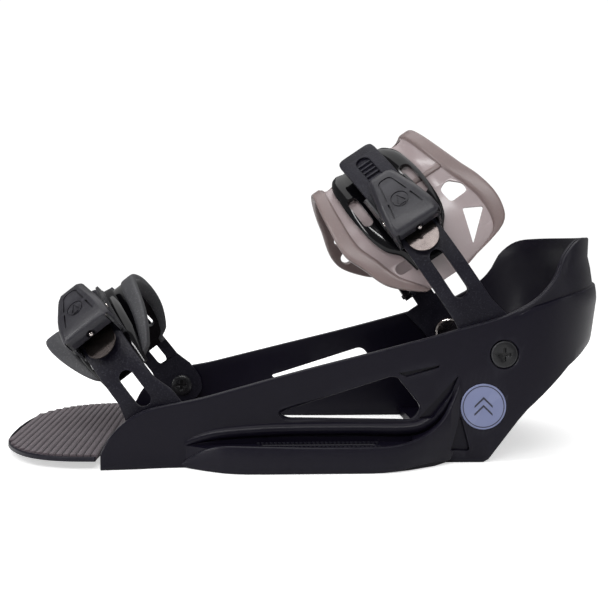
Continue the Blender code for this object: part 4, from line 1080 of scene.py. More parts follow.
def make_toe_cap():
    """The two-band toe strap: a front band over the toes and a back band, joined at both ends."""
    strap = STRAPS["toe"]
    start = strap.part_at_height(31.0)
    end = strap.part_at_height(31.0, medial=True)
    layers = rimmed_layers(TOE_RIM_SHARE, (1.8, -2.8), (0.7, -1.5))
    mesh = band_mesh(strap, "toe_cap", start, end, TOE_FRONT, TOE_BACK, layers, 96, 60)
    cap = two_finish_band("toe_strap_cap", mesh, layers, TOE_RIM_SHARE)
    window = stadium((0, 0), 30.0, 9.5, 12, True)
    slant = prism(
        "window", window, "z", [(-20, 2.5), (-1.9, 0.7), (-1.0, 0), (0.8, 0), (1.5, 0.8), (20, 5)],
        strap.arch_place(0.5, -4.0)
    )
    cuts = [slant, rivet_bore(strap)]
    for part in (0.2, 0.8):
        for x in (-12.0, 11.0):
            cuts.append(hole_cut(strap, stadium((0, 0), 7.0, 2.2, 8, True), part, x, 6.0, 0.4))
    return worked(cap, cuts=cuts, sharp=60)


# Buckles


def eased(path, radius, steps=6):
    """An open path with each inner corner turned into a smooth curve."""
    points = [path[0]]
    for before, here, after in zip(path, path[1:], path[2:]):
        corner = Vector(here)
        a = corner + (Vector(before) - corner).normalized() * radius
        b = corner + (Vector(after) - corner).normalized() * radius
        for k in range(steps + 1):
            t = k / steps
            p = a * (1 - t) ** 2 + corner * 2 * t * (1 - t) + b * t**2
            points.append((p.x, p.y))
    return points + [path[-1]]


def lever_mesh(strap):
    """The lever about its hinge: X across, -Y outward, +Z to its free end."""
    stations = [
        (-4.3, 11.6, -1.2, 1.6), (-4.2, 12.1, -1.9, 2.2), (-3.9, 12.9, -2.9, 3.0),
        (-3.3, 13.5, -3.8, 3.6), (-2.4, 13.8, -4.35, 3.9), (-0.6, 13.85, -4.6, 3.9),
        (2.0, 13.8, -4.7, 3.9), (4.4, 13.65, -4.75, 3.6), (4.7, 13.6, -4.75, 1.7),
        (9.0, 12.95, -4.5, 1.7), (13.3, 12.1, -4.1, 1.7), (14.0, 11.95, -4.0, 3.6),
        (14.6, 11.8, -3.9, 5.4), (17.5, 11.1, -3.3, 5.9), (20.5, 10.3, -2.6, 6.4),
        (24.0, 9.5, -1.7, 6.8), (27.5, 8.7, -0.7, 7.2), (30.2, 8.1, 0.3, 7.6),
        (32.0, 7.5, 1.2, 7.7), (32.9, 6.8, 2.1, 7.5), (33.3, 6.0, 3.0, 7.0),
    ]
    rings = []
    for z, half, top, low in stations:
        edge = min(1.7, (low - top) * 0.3)
        side = [
            (half - 3.0, top), (half - 2.4, top + 0.12), (half - 1.75, top + edge * 0.3),
            (half - 0.5, top + edge * 0.85), (half - 0.12, top + edge * 1.15),
            (half, top + edge * 1.5), (half, low - 1.0), (half - 0.15, low - 0.35), (half - 0.6, low),
        ]
        ring = [(-x, y) for x, y in reversed(side)] + side
        rings.append([(x, y, z) for x, y in ring])
    return loft("lever", rings, lever_place(strap), 32)


def lever_place(strap):
    """Frame of a lever, at its pin."""
    return strap.buckle @ Matrix.Translation((0, -LEVER_PIN_AT[0], LEVER_PIN_AT[1]))


def release_place(strap):
    """Frame of a release plate, at its pin."""
    return strap.buckle @ Matrix.Translation((0, -RELEASE_PIN_AT[0], RELEASE_PIN_AT[1]))


def lever_face(x, z, lift=0.0):
    """A point on the lever's sloping top face."""
    top = lerp([(-2.4, -4.35), (4.7, -4.75), (14.6, -3.9), (24.0, -1.7), (30.2, 0.3), (33.3, 3.0)], z)
    return (x, top - lift, z)


def groove_mesh(strap, path, half, deep, closed=False):
    """A cutter or a bead that follows a path of (x, z) points on the lever's top face."""
    rings = []
    count = len(path)
    for i, (x, z) in enumerate(path):
        a = Vector(path[(i - 1) % count] if closed or i else path[i])
        b = Vector(path[(i + 1) % count] if closed or i < count - 1 else path[i])
        along = (b - a).normalized()
        across = Vector((-along.y, along.x)) * half
        inner = lever_face(x + across.x, z + across.y, 0)
        outer = lever_face(x - across.x, z - across.y, 0)
        rings.append([
            (inner[0], inner[1] - 0.8, inner[2]), (outer[0], outer[1] - 0.8, outer[2]),
            (outer[0], outer[1] + deep, outer[2]), (inner[0], inner[1] + deep, inner[2]),
        ])
    if closed:
        return ring_loft("groove", rings, lever_place(strap))
    return loft("groove", rings, lever_place(strap))


def ring_loft(name, rings, place):
    """A closed tube of rings whose last meets its first."""
    bm = bmesh.new()
    loops = [[bm.verts.new(p) for p in ring] for ring in rings]
    count = len(rings[0])
    for k, first in enumerate(loops):
        second = loops[(k + 1) % len(loops)]
        for i in range(count):
            j = (i + 1) % count
            bm.faces.new((first[i], first[j], second[j], second[i]))
    return mesh_from(bm, name, place)


def make_lever(name):
    """The grip of a buckle, with its grooved border and its peak mark in a ring."""
    strap = STRAPS[name]
    lever = make_object(f"{name}_lever_grip", lever_mesh(strap))
    place = lever_place(strap)
    line = eased([(-8.3, 4.5), (-3.4, 27.8), (3.4, 27.8), (8.3, 4.5)], 2.6)
    ring = circle((0, 12.5), 4.3, 48)
    mark = [(-2.0, 10.3), (0.0, 14.9), (2.0, 10.3)]
    gap = [(-3.1, -6), (-3.1, 3.4), (0.6, 9.5), (1.4, 11), (10, 11), (10, -6)]
    ear_gaps = [prism("ear_gap", gap, "x", [(low, 0), (low + 1.8, 0)], place) for low in (-13.0, 11.2)]
    cuts = [
        turned("bore", [(-20, PIN_BORE_RADIUS), (20, PIN_BORE_RADIUS)], "x", 32, place),
        prism("socket", circle((0, 0.4), 2.5, 32), "z", [(-8, 0), (-2.3, 0)], place),
        groove_mesh(strap, line, 0.42, 0.45), groove_mesh(strap, ring, 0.32, 0.4, True),
        groove_mesh(strap, mark, 0.42, 0.35), groove_mesh(strap, [(-1.6, 9.2), (1.6, 9.2)], 0.4, 0.35),
    ]
    return worked(lever, cuts=cuts + ear_gaps, sharp=32)


def make_buckle_base(name, width):
    """The folded steel base, its ears rounded about the lever's pin."""
    out, up = -LEVER_PIN_AT[0], LEVER_PIN_AT[1]
    corner = [(-5.5, -20), (-5.5, -16.8)] + arc((out, up), 2.95, 270, 90, 24)
    corner += [(out, -2), (-16, -2), (-16, -20)]
    base = from_node(f"{name}_buckle_base_piece", f"{name}_buckle_base", 0)
    trim = prism("trim", corner, "x", [(-15, 0), (15, 0)], STRAPS[name].buckle)
    return bevelled(worked(base, cuts=[trim], sharp=35), width)


def make_plunger(name):
    """The ball-ended pin in the end of the lever."""
    strap = STRAPS[name]
    ball, radius = -4.6, 1.2
    profile = [(-2.7, 0.75), (ball + 0.8 * radius, 0.75)]
    for degrees in range(36, 181, 9):
        turn = math.radians(degrees)
        profile.append((ball + radius * math.cos(turn), radius * math.sin(turn)))
    place = lever_place(strap) @ Matrix.Translation((0, 0.4, 0))
    return make_object(f"{name}_lever_stud", turned("plunger", profile, "z", 40, place))


def make_release(name):
    """The polished spring plate with its rolled knuckle and round finger tab."""
    strap = STRAPS[name]
    place = release_place(strap)
    outline = [(-8.5, -1.5), (-8.5, -15.6)] + arc((0, -15.6), 8.5, 180, 360, 36)[1:] + [(8.5, -1.5)]
    edge = 0.22
    levels = [(1.85, -edge), (1.85 + edge, 0), (2.5 - edge, 0), (2.5, -edge)]
    rings = []
    for low, by in levels:
        rings.append([(x, low + 0.045 * (-2.2 - z), z) for x, z in grown(outline, by)])
    release = make_object(f"{name}_release_plate", loft("release", rings, place, 30))
    knuckle = turned("knuckle", [(-8.5, 2.6), (-8.3, 2.85), (8.3, 2.85), (8.5, 2.6)], "x", 48, place)
    bore = turned("bore", [(-20, PIN_BORE_RADIUS), (20, PIN_BORE_RADIUS)], "x", 32, place)
    return worked(release, [knuckle], [bore], 32)


# Toe ramp


def ramp_outline(inset, back_x=-52.0):
    """Plan of the ramp, moved inwards, from its round front to back_x."""
    nose = RAMP_PLAN[:8]
    half = [smooth_row(nose, i / 6) for i in range(6 * (len(nose) - 1) + 1)]
    half = [(x + inset * (1 - abs(y) / 90), max(y - inset * abs(y) / 76, 0)) for x, y in half]
    half += [(x, y - inset) for x, y in RAMP_PLAN[8:] if x < back_x]
    half.append((back_x, half[-1][1]))
    return half + [(x, -y) for x, y in reversed(half[1:])]


def make_tray():
    """The moulded tray of the toe ramp."""
    tray = make_object(
        "toe_tray", prism("tray", ramp_outline(0), "z", [(TRAY_LOW, 0), (4.2, 0), (TRAY_TOP, -0.4)])
    )
    foot = [(x, y) for x, y in ramp_outline(1.2, -107.4) if x <= -107.4]
    joins = [prism("foot", foot, "z", [(0.6, -4.5), (1.2, -3.0), (2.2, -1.2), (3.4, -0.3)])]
    rim = prism("rim", ramp_outline(0.1), "z", [(4.3, 0), (6.0, -0.1), (6.5, -0.6)])
    inside = prism("inside", ramp_outline(1.5), "z", [(4.5, 0), (9, 0)])
    front_only = prism(
        "front_only", [(-200, -90), (-108.6, -90), (-108.6, 90), (-200, 90)], "z", [(0, 0), (20, 0)]
    )
    band = make_object("rim", rim)
    worked(band, cuts=[inside], sharp=30)
    modifier = band.modifiers.new("front", "BOOLEAN")
    modifier.operation = "INTERSECT"
    keeper = make_object("keeper", front_only)
    modifier.object = keeper
    settled(band)
    joins.append(band.data.copy())
    bpy.data.objects.remove(band)
    bpy.data.objects.remove(keeper)
    return worked(tray, joins, sharp=30)


PAD_INSET = 1.9
RIB_PITCH = 3.5


def make_toe_pad(material):
    """The foam pad with its ribs across the foot."""
    pad = make_object(
        "toe_pad_base",
        prism("pad", ramp_outline(PAD_INSET, -54), "z", [(TRAY_TOP + 0.25, 0), (5.8, 0), (6.1, -0.3)])
    )
    widths = sorted({round(x, 3): y for x, y in ramp_outline(PAD_INSET, -54) if y >= 0}.items())
    lines = []
    x = RAMP_PLAN[0][0] + 5.5
    while x < -56:
        half = lerp(widths, x) - 0.9
        lines.append(((x, -half, 6.55), (x, half, 6.55)))
        x += RIB_PITCH
    ribs = make_object("toe_pad_ribs", guide_mesh("ribs", lines))
    values = {"Width": 3.0 * MM, "Top Width": 2.4 * MM, "Height": 1.3 * MM, "Material": material}
    return pad, grown_by(ribs, tree_named("bars_on_guides"), values)


def make_slot_teeth(material):
    """Fine teeth beside each bolt slot that the washers bite on."""
    lines = []
    for side in (-1, 1):
        for i in range(29):
            x = -29.4 + 2.1 * i
            for near, far in ((70.6, 72.4), (80.0, 84.6)):
                lines.append(
                    ((x, side * near, POCKET_FLOOR + 0.25), (x, side * far, POCKET_FLOOR + 0.25))
                )
    teeth = make_object("slot_teeth", guide_mesh("teeth", lines))
    values = {"Width": 1.6 * MM, "Top Width": 0.4 * MM, "Height": 1.3 * MM, "Material": material}
    return grown_by(teeth, tree_named("bars_on_guides"), values)


def make_badge(side, label):
    """A pale disc in its recess, and the dark ring and chevrons set in it."""
    x, z = BADGE_AT
    place = DESIGN @ Matrix.Translation((x, 0, z))
    disc = [
        (side * 66.5, 11.2), (side * 66.6, 11.45), (side * 67.1, 11.6), (side * 67.3, 11.35),
        (side * 67.32, 0.02)
    ]
    badge = make_object(f"badge_disc_{label}", turned("badge", disc, sides=128, place=place))
    ring = [(67.2, 10.15), (67.4, 10.2), (67.4, 10.6), (67.2, 10.65)]
    mark = make_object(f"badge_mark_{label}", tube_ring(ring, side, place))
    joins = []
    for lift in (-2.6, 1.4):
        chevron = [
            (-4.6, lift - 2.0), (0, lift + 2.4), (4.6, lift - 2.0), (4.6, lift - 0.9), (0, lift + 3.6),
            (-4.6, lift - 0.9)
        ]
        joins.append(prism("chevron", chevron, "y", [(side * 67.1, 0), (side * 67.42, 0)], place))
    bm = bmesh.new()
    bm.from_mesh(mark.data)
    for mesh in joins:
        bm.from_mesh(mesh)
    bm.to_mesh(mark.data)
    bm.free()
    return badge, mark


def tube_ring(section, side, place, sides=128):
    """A ring turned about Y from a closed section of (distance along Y, radius)."""
    rings = []
    for i in range(sides):
        a = 2 * math.pi * i / sides
        rings.append([(r * math.cos(a), side * y, r * math.sin(a)) for y, r in section])
    return ring_loft("ring", rings, place)


def make_nut(side, label):
    """The smooth disc nut of an ankle pivot, closed over the end of its screw."""
    x, z = ANKLE["pivot"]
    profile = [
        (56.3, 0), (56.3, 6.9), (56.42, 7.6), (56.8, 8.2), (57.3, 8.4), (58.8, 8.4), (59.0, 8.2),
        (59.0, 4.4), (57.1, 4.4), (57.1, 0),
    ]
    place = DESIGN @ Matrix.Translation((x, 0, z))
    shape = turned("nut", [(side * y, r) for y, r in profile], sides=96, place=place)
    return make_object(f"ankle_nut_{label}_piece", shape)


# Materials


def put(tree, socket, value):
    """Links a socket or sets its value."""
    if isinstance(value, bpy.types.NodeSocket):
        tree.links.new(value, socket)
    elif isinstance(value, tuple) and len(value) == 3 and socket.type == "RGBA":
        socket.default_value = (*value, 1)
    else:
        socket.default_value = value


def add_node(tree, kind, settings=None, **values):
    """A node with its settings, and its inputs by name with underscores for spaces."""
    node = tree.nodes.new(kind)
    for key, value in (settings or {}).items():
        setattr(node, key, value)
    for key, value in values.items():
        put(tree, node.inputs[key.replace("_", " ")], value)
    return node


def shader_group(name, inputs, outputs):
    """An empty group with its sockets, as (tree, its given sockets, its result sockets)."""
    tree = bpy.data.node_groups.new(name, "ShaderNodeTree")
    for label, kind, default in inputs:
        made = tree.interface.new_socket(label, in_out="INPUT", socket_type=kind)
        if default is not None:
            made.default_value = default
    for label, kind in outputs:
        tree.interface.new_socket(label, in_out="OUTPUT", socket_type=kind)
    return tree, tree.nodes.new("NodeGroupInput").outputs, tree.nodes.new("NodeGroupOutput").inputs


def math_node(tree, operation, a, b=0.0):
    node = tree.nodes.new("ShaderNodeMath")
    node.operation = operation
    put(tree, node.inputs[0], a)
    put(tree, node.inputs[1], b)
    return node.outputs[0]


def grain_group():
    """Moulded leather-like grain: a height, and a mask of its specks."""
    tree, given, out = shader_group(
        "moulded_grain",
        [("Vector", "NodeSocketVector", None), ("Scale", "NodeSocketFloat", 900.0)],
        [("Height", "NodeSocketFloat"), ("Specks", "NodeSocketFloat")],
    )
    cells = add_node(tree, "ShaderNodeTexVoronoi", Vector=given["Vector"], Scale=given["Scale"])
    noise = add_node(tree, "ShaderNodeTexNoise", Vector=given["Vector"], Scale=given["Scale"], Detail=2.0)
    height = math_node(tree, "MULTIPLY", noise.outputs[0], 0.6)
    put(
        tree, out["Height"],
        math_node(tree, "ADD", height, math_node(tree, "MULTIPLY", cells.outputs["Distance"], 0.5))
    )
    specks = add_node(tree, "ShaderNodeMapRange", Value=noise.outputs[0])
    specks.inputs["From Min"].default_value = 0.56
    specks.inputs["From Max"].default_value = 0.68
    put(tree, out["Specks"], specks.outputs[0])
    return tree


def edge_highlight_group():
    """A mask of convex edges that are painted lighter as a highlight, broken up by noise."""
    tree, given, out = shader_group(
        "edge_wear",
        [
            ("Vector", "NodeSocketVector", None), ("Low", "NodeSocketFloat", 0.51),
            ("High", "NodeSocketFloat", 0.6)
        ],
        [("Mask", "NodeSocketFloat")],
    )
    edge = add_node(
        tree, "ShaderNodeMapRange", Value=tree.nodes.new("ShaderNodeNewGeometry").outputs["Pointiness"]
    )
    put(tree, edge.inputs["From Min"], given["Low"])
    put(tree, edge.inputs["From Max"], given["High"])
    noise = add_node(tree, "ShaderNodeTexNoise", Vector=given["Vector"], Scale=260.0, Detail=3.0)
    put(tree, out["Mask"], math_node(tree, "MULTIPLY", edge.outputs[0], noise.outputs[0]))
    return tree


def handling_group():
    """Slow changes of gloss from handling and moulding flow."""
    tree, given, out = shader_group(
        "handling_marks",
        [("Vector", "NodeSocketVector", None), ("Size", "NodeSocketFloat", 30.0)],
        [("Value", "NodeSocketFloat")],
    )
    noise = add_node(tree, "ShaderNodeTexNoise", Vector=given["Vector"], Scale=given["Size"], Detail=4.0)
    fine = add_node(
        tree, "ShaderNodeTexNoise", Vector=given["Vector"],
        Scale=math_node(tree, "MULTIPLY", given["Size"], 9.0)
    )
    total = math_node(tree, "ADD", noise.outputs[0], math_node(tree, "MULTIPLY", fine.outputs[0], 0.3))
    put(tree, out["Value"], math_node(tree, "MULTIPLY", total, 0.77))
    return tree


def brushing_group():
    """Fine lines along the surface's X, as of polished sheet."""
    tree, given, out = shader_group(
        "polish_lines",
        [("Vector", "NodeSocketVector", None), ("Scale", "NodeSocketFloat", 1.0)],
        [("Height", "NodeSocketFloat")],
    )
    stretch = add_node(tree, "ShaderNodeMapping", Vector=given["Vector"])
    stretch.inputs["Scale"].default_value = (60, 2400, 900)
    noise = add_node(
        tree, "ShaderNodeTexNoise", Vector=stretch.outputs[0], Scale=given["Scale"], Detail=2.0
    )
    put(tree, out["Height"], noise.outputs[0])
    return tree


GROUPS = {
    "moulded_grain": grain_group, "edge_wear": edge_highlight_group, "handling_marks": handling_group,
    "polish_lines": brushing_group,
}


def use_group(tree, name, **values):
    node = tree.nodes.new("ShaderNodeGroup")
    node.node_tree = bpy.data.node_groups.get(name) or GROUPS[name]()
    for key, value in values.items():
        put(tree, node.inputs[key], value)
    return node.outputs


def make_finish(
    name, colour, speck_and_highlight_colour, roughness, grain, depth, specks=0.0, spread=0.08, wear=0.5, lines=False, **plain
):
    """A material with grain, specks, a painted highlight on its edges and changes of gloss. plain sets
    the shader's own inputs.
    """
    material = bpy.data.materials.new(name)
    material.use_nodes = True
    tree = material.node_tree
    shader = tree.nodes["Principled BSDF"]
    place = tree.nodes.new("ShaderNodeTexCoord").outputs["Object"]
    surface = use_group(tree, "moulded_grain", Vector=place, Scale=grain)
    edges = use_group(tree, "edge_wear", Vector=place)
    marks = use_group(tree, "handling_marks", Vector=place)
    speckled = add_node(tree, "ShaderNodeMix", {"data_type": "RGBA"})
    put(tree, speckled.inputs[0], math_node(tree, "MULTIPLY", surface["Specks"], specks))
    put(tree, speckled.inputs[6], colour)
    put(tree, speckled.inputs[7], speck_and_highlight_colour)
    # Painted highlight: convex edges are mixed towards the lighter colour, as if they catch the light
    painted_highlight = add_node(tree, "ShaderNodeMix", {"data_type": "RGBA"})
    put(tree, painted_highlight.inputs[0], math_node(tree, "MULTIPLY", edges["Mask"], wear))
    put(tree, painted_highlight.inputs[6], speckled.outputs[2])
    put(tree, painted_highlight.inputs[7], speck_and_highlight_colour)
    put(tree, shader.inputs["Base Color"], painted_highlight.outputs[2])
    gloss = add_node(tree, "ShaderNodeMapRange", Value=marks["Value"])
    gloss.inputs["To Min"].default_value = roughness - spread
    gloss.inputs["To Max"].default_value = roughness + spread
    put(tree, shader.inputs["Roughness"], gloss.outputs[0])
    height = surface["Height"]
    if lines:
        height = use_group(tree, "polish_lines", Vector=place)["Height"]
    bump = add_node(tree, "ShaderNodeBump", Height=height)
    bump.inputs["Distance"].default_value = depth * MM
    bump.inputs["Strength"].default_value = 1.0
    put(tree, shader.inputs["Normal"], bump.outputs[0])
    for key, value in plain.items():
        put(tree, shader.inputs[key.replace("_", " ")], value)
    return material


# Settings


def colour_setting(label, colour):
    return bpy.props.FloatVectorProperty(
        name=label, description=f"Colour of {label.lower()}", subtype="COLOR", size=3, min=0, max=1,
        default=colour
    )


class BindingColours(bpy.types.PropertyGroup):
    """Base colours of the moulded and plated pieces."""

    nylon: colour_setting("Chassis nylon", (0.0042, 0.0032, 0.0088))
    ladder: colour_setting("Ladder nylon", (0.0035, 0.0028, 0.0078))
    grip: colour_setting("Lever rubber", (0.013, 0.012, 0.017))
    # This colour also paints the toe cap's web near-black, as painted shade
    gloss: colour_setting("Carrier elastomer", (0.002, 0.0019, 0.0026))
    rim: colour_setting("Ankle strap rim", (0.19, 0.142, 0.138))
    web: colour_setting("Ankle strap web", (0.42, 0.345, 0.35))
    cap: colour_setting("Toe strap elastomer", (0.03, 0.03, 0.035))
    pad: colour_setting("Toe pad foam", (0.066, 0.048, 0.061))
    steel: colour_setting("Polished steel", (0.56, 0.51, 0.49))
    copper: colour_setting("Toe latch", (0.5, 0.19, 0.06))
    red: colour_setting("Ankle latch", (0.55, 0.03, 0.02))
    badge: colour_setting("Badge", (0.175, 0.2, 0.345))


class BindingFinish(bpy.types.PropertyGroup):
    """Grain that the finishes share, and the edge radius of small pieces."""

    grain: bpy.props.FloatProperty(
        name="Grain", description="Grain cells across one metre", default=1500.0, min=100, max=5000
    )
    edge_width: bpy.props.FloatProperty(
        name="Edge radius", description="Radius of the edges of small pieces", default=0.0003, min=0,
        max=0.001,
        subtype="DISTANCE", unit="LENGTH",
    )


class BindingStage(bpy.types.PropertyGroup):
    """The floor, the light and the camera."""

    floor_size: bpy.props.FloatProperty(
        name="Floor", description="Width of the floor", default=2.8, min=1, subtype="DISTANCE",
        unit="LENGTH"
    )
    lens: bpy.props.FloatProperty(
        name="Lens", description="Focal length on a 36 mm wide sensor, in millimetres", default=53.32,
        min=10
    )
    sky: bpy.props.FloatProperty(
        name="Sky", description="Strength of the even light", default=0.24, min=0
    )
    light: bpy.props.FloatProperty(
        name="Light", description="Share of the softboxes' power", default=1.0, min=0
    )


FINISHES = {}


def make_finishes():
    """All the materials, from the colours of the scene's settings."""
    colours = bpy.context.scene.binding_colours
    grain = bpy.context.scene.binding_finish.grain
    c = {key: tuple(getattr(colours, key)) for key in BindingColours.__annotations__}
    grey = (0.1, 0.1, 0.115)
    # The second colour of each finish is that of its specks and of the painted highlight on its edges
    FINISHES.update(
        nylon=make_finish(
            "satin_black_nylon", c["nylon"], (0.05, 0.05, 0.06), 0.32, grain * 1.3, 0.02, 0.03,
            Specular_IOR_Level=0.2
        ),
        ladder=make_finish(
            "grained_ladder_nylon", c["ladder"], (0.05, 0.05, 0.066), 0.42, grain * 0.8, 0.16, 0.3,
            Specular_IOR_Level=0.22
        ),
        grip=make_finish(
            "soft_touch_lever", c["grip"], grey, 0.36, grain * 0.8, 0.07, 0.12, Specular_IOR_Level=0.4
        ),
        gloss=make_finish(
            "gloss_black_tpu", c["gloss"], (0.02, 0.02, 0.024), 0.1, 120, 0.02, spread=0.03,
            Specular_IOR_Level=0.3
        ),
        smoke=make_finish(
            "smoky_tpu_rim", c["rim"], (0.3, 0.25, 0.24), 0.34, grain * 0.6, 0.03, 0.1, spread=0.06,
            Subsurface_Weight=0.25, Subsurface_Radius=(0.6, 0.45, 0.4), Subsurface_Scale=0.004,
        ),
        web=make_finish(
            "smoky_tpu_web", c["web"], (0.5, 0.45, 0.45), 0.2, grain * 0.6, 0.02, 0.1, spread=0.06,
            Alpha=0.8
        ),
        cap=make_finish("grained_grey_tpu", c["cap"], (0.16, 0.16, 0.17), 0.55, grain * 0.7, 0.12, 0.3),
        pad=make_finish(
            "ribbed_pad_foam", c["pad"], (0.2, 0.17, 0.18), 0.78, grain * 0.9, 0.1, 0.3, Sheen_Weight=0.15
        ),
        steel=make_finish(
            "polished_steel", c["steel"], (0.8, 0.78, 0.75), 0.16, grain, 0.004, lines=True, spread=0.07,
            Metallic=1.0
        ),
        black_steel=make_finish(
            "black_steel", (0.004, 0.004, 0.005), (0.1, 0.1, 0.11), 0.28, grain, 0.015, wear=0.6,
            Specular_IOR_Level=0.4
        ),
        # The spring plates are polished steel; their colour is darkened far below it as a painted dark
        # reflection
        spring=make_finish(
            "smoked_spring_steel", (0.035, 0.028, 0.027), (0.2, 0.18, 0.17), 0.22, grain, 0.004,
            lines=True, Metallic=0.9
        ),
        copper=make_finish(
            "copper_latch", c["copper"], (0.8, 0.4, 0.2), 0.26, grain, 0.01, Metallic=0.75
        ),
        red=make_finish("red_latch", c["red"], (0.7, 0.2, 0.15), 0.35, grain, 0.02),
        badge=make_finish("pale_badge", c["badge"], (0.4, 0.43, 0.6), 0.38, grain * 0.5, 0.008, wear=0.2),
        ink=make_finish("dark_ink", (0.015, 0.016, 0.03), (0.05, 0.05, 0.07), 0.45, grain, 0.01),
    )


# Operators


class BINDING_OT_materials(bpy.types.Operator):
    """Builds the materials of every piece"""

    bl_idname = "binding.materials"
    bl_label = "Materials"

    def execute(self, context):
        make_finishes()
        return {"FINISHED"}


class BINDING_OT_chassis(bpy.types.Operator):
    """Builds the moulded chassis and the teeth beside its bolt slots"""

    bl_idname = "binding.chassis"
    bl_label = "Chassis"

    def execute(self, context):
        finished(make_chassis(), "chassis_body", FINISHES["nylon"], "satin_black_nylon", "chassis")
        teeth = make_slot_teeth(FINISHES["nylon"])
        finished(teeth, "chassis_body", FINISHES["nylon"], "satin_black_nylon")
        return {"FINISHED"}


class BINDING_OT_toe_ramp(bpy.types.Operator):
    """Builds the tray under the toes and its ribbed foam pad"""

    bl_idname = "binding.toe_ramp"
    bl_label = "Toe ramp and pad"

    def execute(self, context):
        finished(make_tray(), "chassis_body", FINISHES["nylon"], "satin_black_nylon", "toe_ramp")
        pad, ribs = make_toe_pad(FINISHES["pad"])
        finished(pad, "chassis_body", FINISHES["pad"], "ribbed_pad", "toe_pad")
        finished(ribs, "chassis_body", FINISHES["pad"], "ribbed_pad")
        return {"FINISHED"}


class BINDING_OT_badges(bpy.types.Operator):
    """Builds the round badge of each side with a plain chevron mark"""

    bl_idname = "binding.badges"
    bl_label = "Badges"

    def execute(self, context):
        for side, label in ((-1, "lateral"), (1, "medial")):
            badge, mark = make_badge(side, label)
            finished(badge, "chassis_body", FINISHES["badge"], "pale_blue_badge", f"badge_{label}")
            finished(mark, "chassis_body", FINISHES["ink"], "pale_blue_badge")
        return {"FINISHED"}


# Small pieces that keep the shape of their node: node, body, material, record slot
KEPT_PIECES = [
    (f"{strap}_screw_{side}", "chassis_body", "black_steel", "black_steel")
    for strap in STRAPS for side in ("lateral", "medial")
]
KEPT_PIECES += [
    (f"{strap}_{piece}", f"{strap}_{body}", finish, slot)
    for strap in STRAPS
    for piece, body, finish, slot in (
        ("medial_link", "links", "ladder", "grained_ladder_nylon"),
        ("buckle_rivet", "strap", "steel", "polished_steel"),
        ("lever_pin", "strap", "steel", "polished_steel"),
        ("release_pin", "strap", "steel", "polished_steel"),
        ("latch_pin", "strap", "steel", "polished_steel"),
        ("adjuster", "strap", "gloss", "gloss_black_tpu"),
    )
]
KEPT_PIECES += [
    # The medial pin takes the black steel finish instead of its polished steel, as painted shade that
    # hides its highlight
    ("ankle_medial_pin", "ankle_strap", "black_steel", "polished_steel"),
    ("ankle_latch", "ankle_latch_body", "red", "red_latch"),
    ("toe_latch", "toe_latch_body", "copper", "copper_latch"),
]


class BINDING_OT_fittings(bpy.types.Operator):
    """Builds the screws, nuts, pins, rivets, links, adjusters and latches"""

    bl_idname = "binding.fittings"
    bl_label = "Fittings"

    def execute(self, context):
        width = context.scene.binding_finish.edge_width / MM
        for node, body, finish, slot in KEPT_PIECES:
            piece = from_node(f"{node}_piece", node, width)
            finished(piece, body, FINISHES[finish], slot, node)
        for side, label in ((-1, "lateral"), (1, "medial")):
            nut = make_nut(side, label)
            finished(nut, "chassis_body", FINISHES["steel"], "polished_steel", f"ankle_nut_{label}")
        return {"FINISHED"}


class BINDING_OT_ladders(bpy.types.Operator):
    """Builds the toothed ladder of each strap"""

    bl_idname = "binding.ladders"
    bl_label = "Ladders"

    def execute(self, context):
        for name in STRAPS:
            nylon, body, slot = FINISHES["ladder"], f"{name}_links", "grained_ladder_nylon"
            finished(make_ladder(name), body, nylon, slot, f"{name}_ladder")
            finished(make_teeth(name, nylon), body, nylon, slot)
        return {"FINISHED"}


class BINDING_OT_straps(bpy.types.Operator):
    """Builds the ankle strap pad, the toe cap and their gloss carriers"""

    bl_idname = "binding.straps"
    bl_label = "Straps"

    def execute(self, context):
        smoky = (FINISHES["smoke"], FINISHES["web"])
        finished(make_ankle_pad(), "ankle_strap", smoky, "smoky_tpu", "ankle_pad")
        # The toe cap's web takes the near-black gloss finish as painted shade, dark like the shadowed
        # hollow inside its loops
        rim_and_painted_shade_web = (FINISHES["cap"], FINISHES["gloss"])
        finished(make_toe_cap(), "toe_strap", rim_and_painted_shade_web, "grained_grey_tpu", "toe_cap")
        for name in STRAPS:
            carrier = make_carrier(name)
            finished(carrier, f"{name}_strap", FINISHES["gloss"], "gloss_black_tpu", f"{name}_carrier")
        return {"FINISHED"}


class BINDING_OT_buckles(bpy.types.Operator):
    """Builds the base, lever, stud and spring plate of each ratchet buckle"""

    bl_idname = "binding.buckles"
    bl_label = "Buckles"

    def execute(self, context):
        for name in STRAPS:
            lever_body = f"{name}_lever_body"
            base = make_buckle_base(name, context.scene.binding_finish.edge_width / MM)
            finished(base, f"{name}_strap", FINISHES["black_steel"], "black_steel", f"{name}_buckle_base")
            finished(make_lever(name), lever_body, FINISHES["grip"], "soft_touch_lever", f"{name}_lever")
            stud = make_plunger(name)
            finished(stud, lever_body, FINISHES["steel"], "polished_steel", f"{name}_lever_plunger")
            spring, body = make_release(name), f"{name}_release_body"
            finished(spring, body, FINISHES["spring"], "polished_steel", f"{name}_release")
        return {"FINISHED"}


# What the camera alone sees: extra brightness of the floor, and brightness behind the piece
FLOOR_GLOW = 0.55
BACKDROP = 1.05


def area_light(name, power, size, place, target):
    """A rectangular light that looks at a target."""
    light = bpy.data.lights.new(name, "AREA")
    light.energy = power
    light.shape = "RECTANGLE"
    light.size, light.size_y = size
    obj = make_object(name, light)
    obj.location = place
    obj.rotation_euler = (Vector(target) - Vector(place)).to_track_quat("-Z", "Y").to_euler()
    return obj


